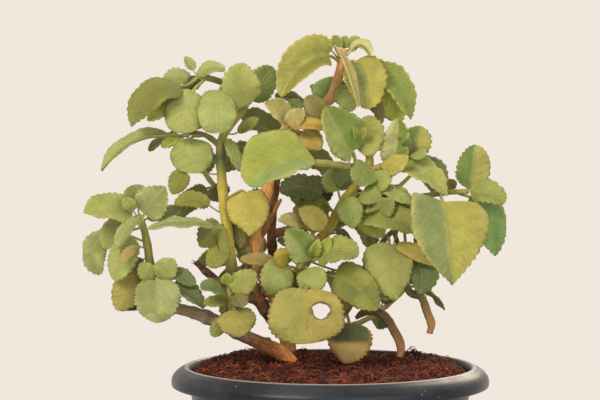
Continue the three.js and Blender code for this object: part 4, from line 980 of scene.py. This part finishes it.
def back_leaves(name, places, _, pairs, size, first):
    """Opposite pairs of leaves up a back shoot, each pair crosswise to the one below and a little smaller."""
    line = smooth(seen(places), 0.25)
    ways = unit(np.gradient(line, axis=0))
    made = []
    for i in range(pairs):
        at = int(round((0.4 + 0.6 * i / (pairs - 1)) * (len(line) - 1)))
        spot, way = line[at], ways[at]
        level = unit(np.array([way[1], -way[0], 0]))
        for hand in (0, 180):
            out = turned(level, way, math.radians(first + 95 * i + hand))
            room = 0.6 if out[1] < -0.4 else 1
            length = size * room * (1 - 0.5 * i / pairs) * (1 if hand else 0.88)
            rib = np.array([spot + out * (7 + along * length) + [0, 0, rise * length]
                            for along, rise in ((0, 0.1), (0.5, 0.16), (0.95, -0.02))])
            face = way + out * 0.25 + [0, 0.3, 0.4]
            made.append({"shoot": name, "rib": rib, "width": 0.8 * length, "face": face, "fold": 4,
                         "form": "oval", "look": "back"})
    return made


ALL_LEAVES = table_leaves(LEAVES)
ALL_LEAVES += [leaf for shoot in BACK_SHOOTS for leaf in back_leaves(*shoot)]
for number, leaf in enumerate(ALL_LEAVES):
    leaf["number"] = number


def rib_frame(leaf, along):
    """Points on the midrib, its way, and the blade's upward and sideways directions there."""
    base, middle, tip = leaf["rib"]
    control = 2 * middle - base / 2 - tip / 2
    s = np.asarray(along)[..., None]
    on = base * (1 - s) ** 2 + 2 * control * s * (1 - s) + tip * s**2
    way = unit(2 * (control - base) * (1 - s) + 2 * (tip - control) * s)
    face = unit(leaf["face"] - way * (way @ leaf["face"])[..., None])
    return on, way, face, np.cross(way, face)


def outline(form, turn):
    """Half a blade's width, up to 1, at a turn of 0 at its base to pi at its tip."""
    blunt, pointed, low, _ = FORMS[form]
    power = blunt + (pointed - blunt) * (1 - np.cos(turn)) / 2
    return np.sin(turn) ** power * (1 + low * np.cos(turn))


def blade(piece, leaf):
    """A closed thin blade: scalloped margin, puckered between the veins, cupped and waved."""
    number, width = leaf["number"], leaf["width"]
    rng = np.random.default_rng(1000 + number)
    base, middle, tip = leaf["rib"]
    length = np.linalg.norm(middle - base) + np.linalg.norm(tip - middle)
    half = width / 2
    pitch = 3.9 if length > FULL_GROWN else 3.1 if length > 20 else 2.5
    teeth = max(int(round((length + 2 * half) * 0.72 / pitch)), 3)
    per_tooth = 6 if length > FULL_GROWN else 5
    rows, columns = teeth * per_tooth + 1, 2 * (9 if half > 14 else 7 if half > 9 else 5) + 1
    marks = np.concatenate([[0], np.cumsum(rng.uniform(0.7, 1.3, teeth))])
    phase = np.arange(rows) / per_tooth
    turn = 0.10 + (np.pi - 0.14) * np.interp(phase, np.arange(teeth + 1), marks / marks[-1])
    t = np.linspace(-1, 1, columns)
    t = np.sign(t) * np.abs(t) ** 0.9
    x = (1 - np.cos(turn)) / 2 * 0.95 * length
    y = np.maximum(outline(leaf["form"], turn) * half * 1.03, 0.7 * (turn < 1))
    slope = unit(np.stack([np.gradient(x), np.gradient(y)], -1))
    depth = min(1.3, 0.038 * length + 0.24) * FORMS[leaf["form"]][3]
    depth = depth * ease(0.0, 0.35, turn) * (1 - ease(np.pi - 0.2, np.pi, turn))
    sides = []
    for hand in (-1, 1):
        lobe = np.abs(np.sin(np.pi * (phase + 0.25 * hand))) ** 0.62
        size = 1 + 0.5 * noise(stacked(x / 6, 0, hand), 1.0, number)
        sides.append(depth * size * (1 - lobe))
    notch = np.where(t < 0, sides[0][:, None], sides[1][:, None]) * np.abs(t) ** 4
    X = x[:, None] + slope[:, 1:] * notch
    Y = t * y[:, None] - np.sign(t) * slope[:, :1] * notch
    on, _, face, side = rib_frame(leaf, np.clip(X / length, 0, 1))
    # across the blade: folded at the rib, then drooping towards the margin
    droop = rng.uniform(8, 24) if leaf["fold"] < 15 else rng.uniform(0, 10)

    def bend(t):
        return np.radians(leaf["fold"] * ease(0, 0.25, np.abs(t)) - droop * (t**2 - 0.3) * (t != 0))
    angle = bend(t)
    fine = bend(t[None] * np.linspace(0, 1, 9)[:, None])
    wide, high = np.cos(fine).mean(0), np.sin(fine).mean(0)
    place = stacked(X, np.abs(Y), np.sign(t))
    ladder = (X - 0.85 * np.abs(Y)) / 5.4 + 0.7 * noise(place, 7.0, number)
    reach = np.abs(t) * np.ones_like(X)
    size = min(1, length / FULL_GROWN)
    pucker = 0.34 * size * np.abs(np.sin(np.pi * ladder)) ** 0.8 * ease(0, 0.3, reach) * (1 - 0.6 * reach**4)
    pucker = pucker + 0.28 * size * noise(place, 2.6, number + 9) * ease(0, 0.3, reach)
    groove = -0.35 * size * np.exp(-((Y / 1.1) ** 2))
    swell = 0.03 * width * noise(stacked(X / length * 3, Y / half * 1.5, 0), 1.0, number + 5)
    ripples = 2 * np.pi * (rng.uniform(1.6, 2.8) * X / length + rng.random()) + np.sign(t)
    wave = 0.035 * width * reach**2.5 * np.sin(ripples)
    sheet = on + side * (Y * wide)[..., None]
    sheet = sheet + face * (np.abs(Y) * high + pucker + groove + swell + wave)[..., None]
    body = np.sqrt(np.clip(1 - reach**8, 0, 1)) * np.sqrt(np.clip(np.sin(turn), 0, 1))[:, None] ** 0.25
    lean = unit(face - side * (np.sign(t) * np.sin(angle))[..., None])
    thick = lean * (THICKNESS / 2 * body)[..., None]
    upper, lower = sheet + thick, sheet - thick
    index, under = sheet_points(rows, columns)
    keep = np.ones((rows - 1, columns - 1), bool)
    walls = []
    if leaf["look"] == "holed":
        upper, lower, keep, walls = bite(X, Y, upper, lower, index, under)
    faces = [cells(index)[keep], cells(under)[keep][:, ::-1], np.reshape(walls, (-1, 4)).astype(int)]
    quads = np.concatenate(faces)
    colour = leaf_paint(leaf, X, Y, reach, side, rng)
    grain = stacked(X, Y, 7.3 * number).reshape(-1, 3)
    pale = blend(colour, shown((160, 166, 118)), 0.3)
    points = np.clip(np.vstack([upper.reshape(-1, 3), lower.reshape(-1, 3)]), *ROOM)
    piece.add(points, quads, np.empty((0, 3), int), np.vstack([colour.reshape(-1, 3), pale.reshape(-1, 3)]),
              np.vstack([grain, grain]))


BITE = (14.0, -9.0, 5.2)  # the insect's hole in the big low leaf: along, out and radius


def bite(X, Y, upper, lower, index, under):
    """Opens a ragged hole: drops the cells inside it, draws their neighbours' corners to its edge, and
    walls it."""
    along, out, radius = BITE
    away = np.stack([X - along, Y - out], -1)
    turn = np.arctan2(away[..., 1], away[..., 0])
    edge = radius * (1 + 0.10 * np.sin(3 * turn + 1) + 0.05 * np.sin(7 * turn))
    inside = np.hypot(away[..., 0], away[..., 1]) < edge
    gone = inside[:-1, :-1] & inside[1:, :-1] & inside[1:, 1:] & inside[:-1, 1:]
    du, dv = np.gradient(upper, axis=0), np.gradient(upper, axis=1)
    dx, dy = np.gradient(X, axis=0), np.gradient(Y, axis=1)
    share = (edge / np.maximum(np.hypot(away[..., 0], away[..., 1]), 0.5) - 1)[..., None]
    push = du / dx[..., None] * away[..., :1] * share + dv / dy[..., None] * away[..., 1:] * share
    push = np.where(inside[..., None], push, 0)
    walls = []
    for i, j in zip(*np.nonzero(gone)):
        ring = [(i, j), (i + 1, j), (i + 1, j + 1), (i, j + 1)]
        beside = [(i, j - 1), (i + 1, j), (i, j + 1), (i - 1, j)]
        for a, b, other in zip(ring, ring[1:] + ring[:1], beside):
            if not gone[other]:
                walls.append([index[a], index[b], under[b], under[a]])
    return upper + push, lower + push, ~gone, walls


def leaf_paint(leaf, X, Y, reach, side, rng):
    """The blade's tint at each point: two halves, lit and shaded as painted light and shade, a margin of its
    own, and uneven patches.
    """
    first, second, toward, rim, *end = LOOKS[leaf["look"]]
    heading = side[..., 0] * toward[0] + side[..., 2] * toward[1]
    lean = np.sign(heading) * Y
    wash = noise(stacked(X, Y, 0), 9.0, leaf["number"] + 40)
    share = ease(-1.5, 1.5, lean + 1.2 * wash)
    tint = blend(shown(first), shown(second), share)
    patch = noise(stacked(X, Y, 0), 5.0, leaf["number"] + 60)
    # The end half's own tint: on the look that has one, the dark halves are painted shade over the curled top
    # and the pale end half is painted light where the lower part is lit.
    if end:
        tint = blend(tint, shown(end[0]), ease(-0.08, 0.08, X / X.max() - 0.5 + 0.1 * wash))
    tint = blend(tint, shown(rim), 0.8 * ease(0.72, 1.0, reach + 0.08 * patch))
    value = 1 + rng.uniform(-0.05, 0.05) + 0.12 * wash + 0.08 * patch + 0.16 * ease(0.9, 1.0, reach)
    warm = np.array([1 + rng.uniform(-0.04, 0.04), 1.0, 1 + rng.uniform(-0.06, 0.06)])
    tint = tint * value[..., None] * warm
    if leaf["look"] == "holed":
        gap = np.hypot(X - BITE[0], Y - BITE[1]) - BITE[2]
        tint = blend(tint, shown((104, 78, 44)), 0.85 * ease(1.6, 0.2, gap))
    return np.clip(tint, 0, 1)


def joint_of(leaf, lines):
    """Where the petiole leaves the shoot's stems: at the nearest point, or one to four steps lower."""
    base = leaf["rib"][0]
    nearest = [np.linalg.norm(line - base, axis=1) for line in lines]
    which = int(np.argmin([n.min() for n in nearest]))
    at = int(np.argmin(nearest[which]))
    return lines[which][max(at - 1 - leaf["number"] % 4, 0)]


def petiole(piece, leaf, lines, tint):
    """A haired stalk from the stem to the blade, going on as the raised rib under it."""
    joint = joint_of(leaf, lines)
    base = leaf["rib"][0]
    on, way, face, _ = rib_frame(leaf, np.linspace(0, 0.7, 9))
    reach = np.linalg.norm(base - joint)
    bend = joint + (base - joint) * 0.45 - np.array([0, 0, 0.1 * reach])
    before = base - way[0] * min(0.35 * reach, 5)
    share = np.linspace(0, 1, max(int(reach / 1.2), 5))[:, None]
    curve = (joint * (1 - share) ** 3 + 3 * bend * share * (1 - share) ** 2
             + 3 * before * share**2 * (1 - share) + base * share**3)
    size = np.clip(leaf["width"] / 24, 0.55, 1.15)
    sunk = on[1:] - face[1:] * (0.45 + size * np.linspace(0.7, 0.1, 8))[:, None]
    line = spaced(np.vstack([curve, sunk]), 1.3)
    marks = np.linspace(0, 1, len(line))
    turning = reach / (reach + 0.7 * np.linalg.norm(leaf["rib"][2] - base))
    radii = size * np.interp(marks, [0, 0.12 * turning, turning, 1], [1.45, 1.0, 0.85, 0.22])
    rim = shown(LOOKS[leaf["look"]][3])
    paint = blend(np.tile(tint, (len(line), 1)), rim, ease(0.0, turning, marks))
    tube(piece, line, radii, 8, paint, 7.3 * leaf["number"])


def green_stem(piece, line, foot, tip, tints, seed):
    """A four-sided green stem with a swelling at each joint."""
    share = np.linspace(0, 1, len(line))
    sides = 16
    turn = turns(sides)
    run = share * len(line)
    radius = foot + (tip - foot) * share
    joints = np.exp(-((((run / 13 + 0.31 * seed) % 1 - 0.5) * 13 / 1.8) ** 2))
    square = 1 + 0.045 * np.cos(4 * turn)
    round_ = stacked(run[:, None] * 0.3, 2 * np.cos(turn), 2 * np.sin(turn))
    radii = radius[:, None] * square * (1 + 0.10 * joints[:, None] + 0.05 * noise(round_, 1.0, seed))
    shade = 1 + 0.14 * noise(round_, 1.2, seed + 3) - 0.12 * joints[:, None]
    paint = stops(tints, share)[:, None] * shade[..., None]
    tube(piece, line, radii, sides, np.clip(paint, 0, 1), seed)


def strap(piece, places, width, face, tints):
    """A dry strap-like leaf: curled along its length, creased, with a frayed end."""
    line = smooth(seen(places), 0.8)
    way = unit(np.gradient(line, axis=0))
    right, front, up = face
    over = np.array([right, -front, up], float)
    over = unit(over - way * (way @ over)[:, None])
    side = np.cross(way, over)
    share = np.linspace(0, 1, len(line))
    columns = 13
    t = np.linspace(-1, 1, columns)
    half = width / 2 * np.interp(share, [0, 0.1, 0.3, 0.85, 1], [0.35, 0.75, 1, 0.95, 0.7])
    run = stacked(share[:, None] * 9, t * 2, 0.0)
    ragged = 1 + 0.10 * noise(run, 0.5, int(width * 10)) * np.abs(t) ** 3
    out = t * half[:, None] * ragged
    rise = -0.07 * width * (t**2 - 0.4) + 0.18 * np.cos(3 * np.pi * t) + 0.35 * noise(run, 0.9, 5)
    sheet = line[:, None] + side[:, None] * out[..., None] + over[:, None] * rise[..., None]
    rows = len(line)
    swell = np.sqrt(np.clip(np.sin(np.pi * np.clip(share, 0.02, 0.98)), 0, 1))[:, None] ** 0.2
    thick = 0.5 * np.sqrt(1 - t**8) * swell
    index, under = sheet_points(rows, columns)
    quads = np.concatenate([cells(index), cells(under)[..., ::-1]])
    points = [sheet + over[:, None] * thick[..., None], sheet - over[:, None] * thick[..., None]]
    even = stops(tints, share)[:, None] * np.ones((1, columns, 1))
    edge = blend(even, shown(TINTS["dark_brown_and_shade"]), 0.45 * np.abs(t) ** 5)
    paint = np.clip(edge * (1 + 0.25 * noise(run, 0.35, 9))[..., None], 0, 1).reshape(-1, 3)
    grain = stacked(share[:, None] * 0.8 * rows, t * width / 2, 3.0).reshape(-1, 3)
    piece.add(np.concatenate([p.reshape(-1, 3) for p in points]), quads, np.empty((0, 3), int),
              np.vstack([paint, paint]), np.vstack([grain, grain]))


def shoot(name, leaf_finish, stem_finish):
    """One leafy shoot: its stems, petioles and blades."""
    back = [[s[0], s[1], s[2], 1.1, ["moss", "lime", "lime"]] for s in BACK_SHOOTS if s[0] == name]
    stems = [row for row in STEMS if row[0] == name] + back
    lines = [smooth(seen(places), 1.0) for _, places, *_ in stems]
    blades, stalks = Piece(), Piece()
    for seed, (line, (_, _, foot, tip, tints)) in enumerate(zip(lines, stems)):
        green_stem(stalks, line, foot, tip, tints, seed + 11)
    spots = [spaced(line, 2.0) for line in lines]
    for one in ALL_LEAVES:
        if one["shoot"] == name:
            blade(blades, one)
            petiole(stalks, one, spots, shown(TINTS["lime"]))
    for row in STRAPS:
        if row[0] == name:
            strap(stalks, *row[1:])
    dress(f"{name}_leaves", blades.mesh(f"{name}_leaves"), leaf_finish, f"shoot_{name}")
    dress(f"{name}_stems", stalks.mesh(f"{name}_stems"), stem_finish, f"shoot_{name}")


# ---------------------------------------------------------------- the studio

# Lamps: name, place in millimetres, width in metres, power and tint.
LAMPS = [
    ["key", (-900, -1300, 1250), 0.7, 30, (255, 240, 214)],
    ["fill", (700, -1500, 500), 1.6, 14, (250, 246, 240)],
    ["rim", (600, 1300, 1100), 0.9, 14, (255, 240, 214)],
]


def aimed(holder, place, target):
    """Puts a camera or a lamp in its place, in millimetres, and turns it to look at a target."""
    place, target = Vector(np.array(place) * MM), Vector(np.array(target) * MM)
    holder.location = place
    holder.rotation_euler = (target - place).to_track_quat("-Z", "Y").to_euler()


def studio():
    scene = bpy.context.scene
    scene.view_settings.view_transform = "Standard"
    camera = put("camera", bpy.data.cameras.new("camera"))
    camera.data.sensor_width, camera.data.lens = SENSOR, LENS
    aimed(camera, EYE, AIM)
    scene.camera = camera
    for name, place, size, power, tint in LAMPS:
        lamp = bpy.data.lights.new(name, "AREA")
        lamp.shape, lamp.size, lamp.energy, lamp.color = "DISK", size, power, linear(tint)
        aimed(put(name, lamp), place, LIT)
    world = bpy.data.worlds.new("studio")
    scene.world = world
    world.use_nodes = True
    back = world.node_tree.nodes["Background"]
    back.inputs["Color"].default_value = (*linear(SKY_TINT), 1)
    back.inputs["Strength"].default_value = SKY_STRENGTH
    floor = Piece()
    rings = circles([FLOOR_RADIUS, FLOOR_RADIUS], FLOOR_LEVELS, 96)
    closed(floor, rings, [[0, 0, level] for level in FLOOR_LEVELS], 0.8, 0, flip=True)
    disc = put("floor", floor.mesh("floor"))
    disc.data.polygons.foreach_set("use_smooth", np.zeros(len(disc.data.polygons), bool))
    disc.data.materials.append(floor_material())


# ---------------------------------------------------------------- assembly

studio()
pot(plastic_material())
coir(coir_material())

trunk = Piece()
woody(trunk, TRUNK, ["brick", "amber", "brick", "amber", "amber"], 3)
# The fork, the stub and the twig are mostly darkest brown: painted shade over their bark, where they lie in
# shadow inside the bush.
woody(trunk, FORK, ["dark_brown_and_shade", "dark_brown_and_shade", "cork"], 5, sides=24)
woody(trunk, STUB, ["dark_brown_and_shade", "dark_brown_and_shade", "cork"], 17, knots=9, sides=22, torn=True)
woody(trunk, TWIG, ["ash", "dark_brown_and_shade", "dark_brown_and_shade"], 8, knots=11, sides=20, torn=True)
woody(trunk, SPUR, ["cork", "straw", "straw"], 12, knots=9, sides=16, torn=True)
splinters(trunk, TWIG, ["dark_brown_and_shade"], 21)
splinters(trunk, STUB, ["dark_brown_and_shade"], 23, 12)
bark = bark_material("bark", (236, 172, 110), (70, 42, 28))
dress("trunk_wood", trunk.mesh("trunk_wood"), bark, "trunk")

low_branch = Piece()
# The foot's brightest orange is orange bark with painted light on it, where the warm light falls.
low_tints = ["lit_orange_bark", "lit_orange_bark", "lit_orange_bark", "cork", "ash", "ash", "ash", "dark_brown_and_shade"]
woody(low_branch, LOW_BRANCH, low_tints, 4, knots=21, torn=True)
splinters(low_branch, LOW_BRANCH, ["ash"], 22)
old_bark = bark_material("old_bark", (190, 146, 104), (54, 34, 26))
dress("low_branch_wood", low_branch.mesh("low_branch_wood"), old_bark, "low_branch")

leaf_finish, stem_finish = leaf_material(), stem_material()
for name in dict.fromkeys(row[0] for row in STEMS + BACK_SHOOTS):
    shoot(name, leaf_finish, stem_finish)
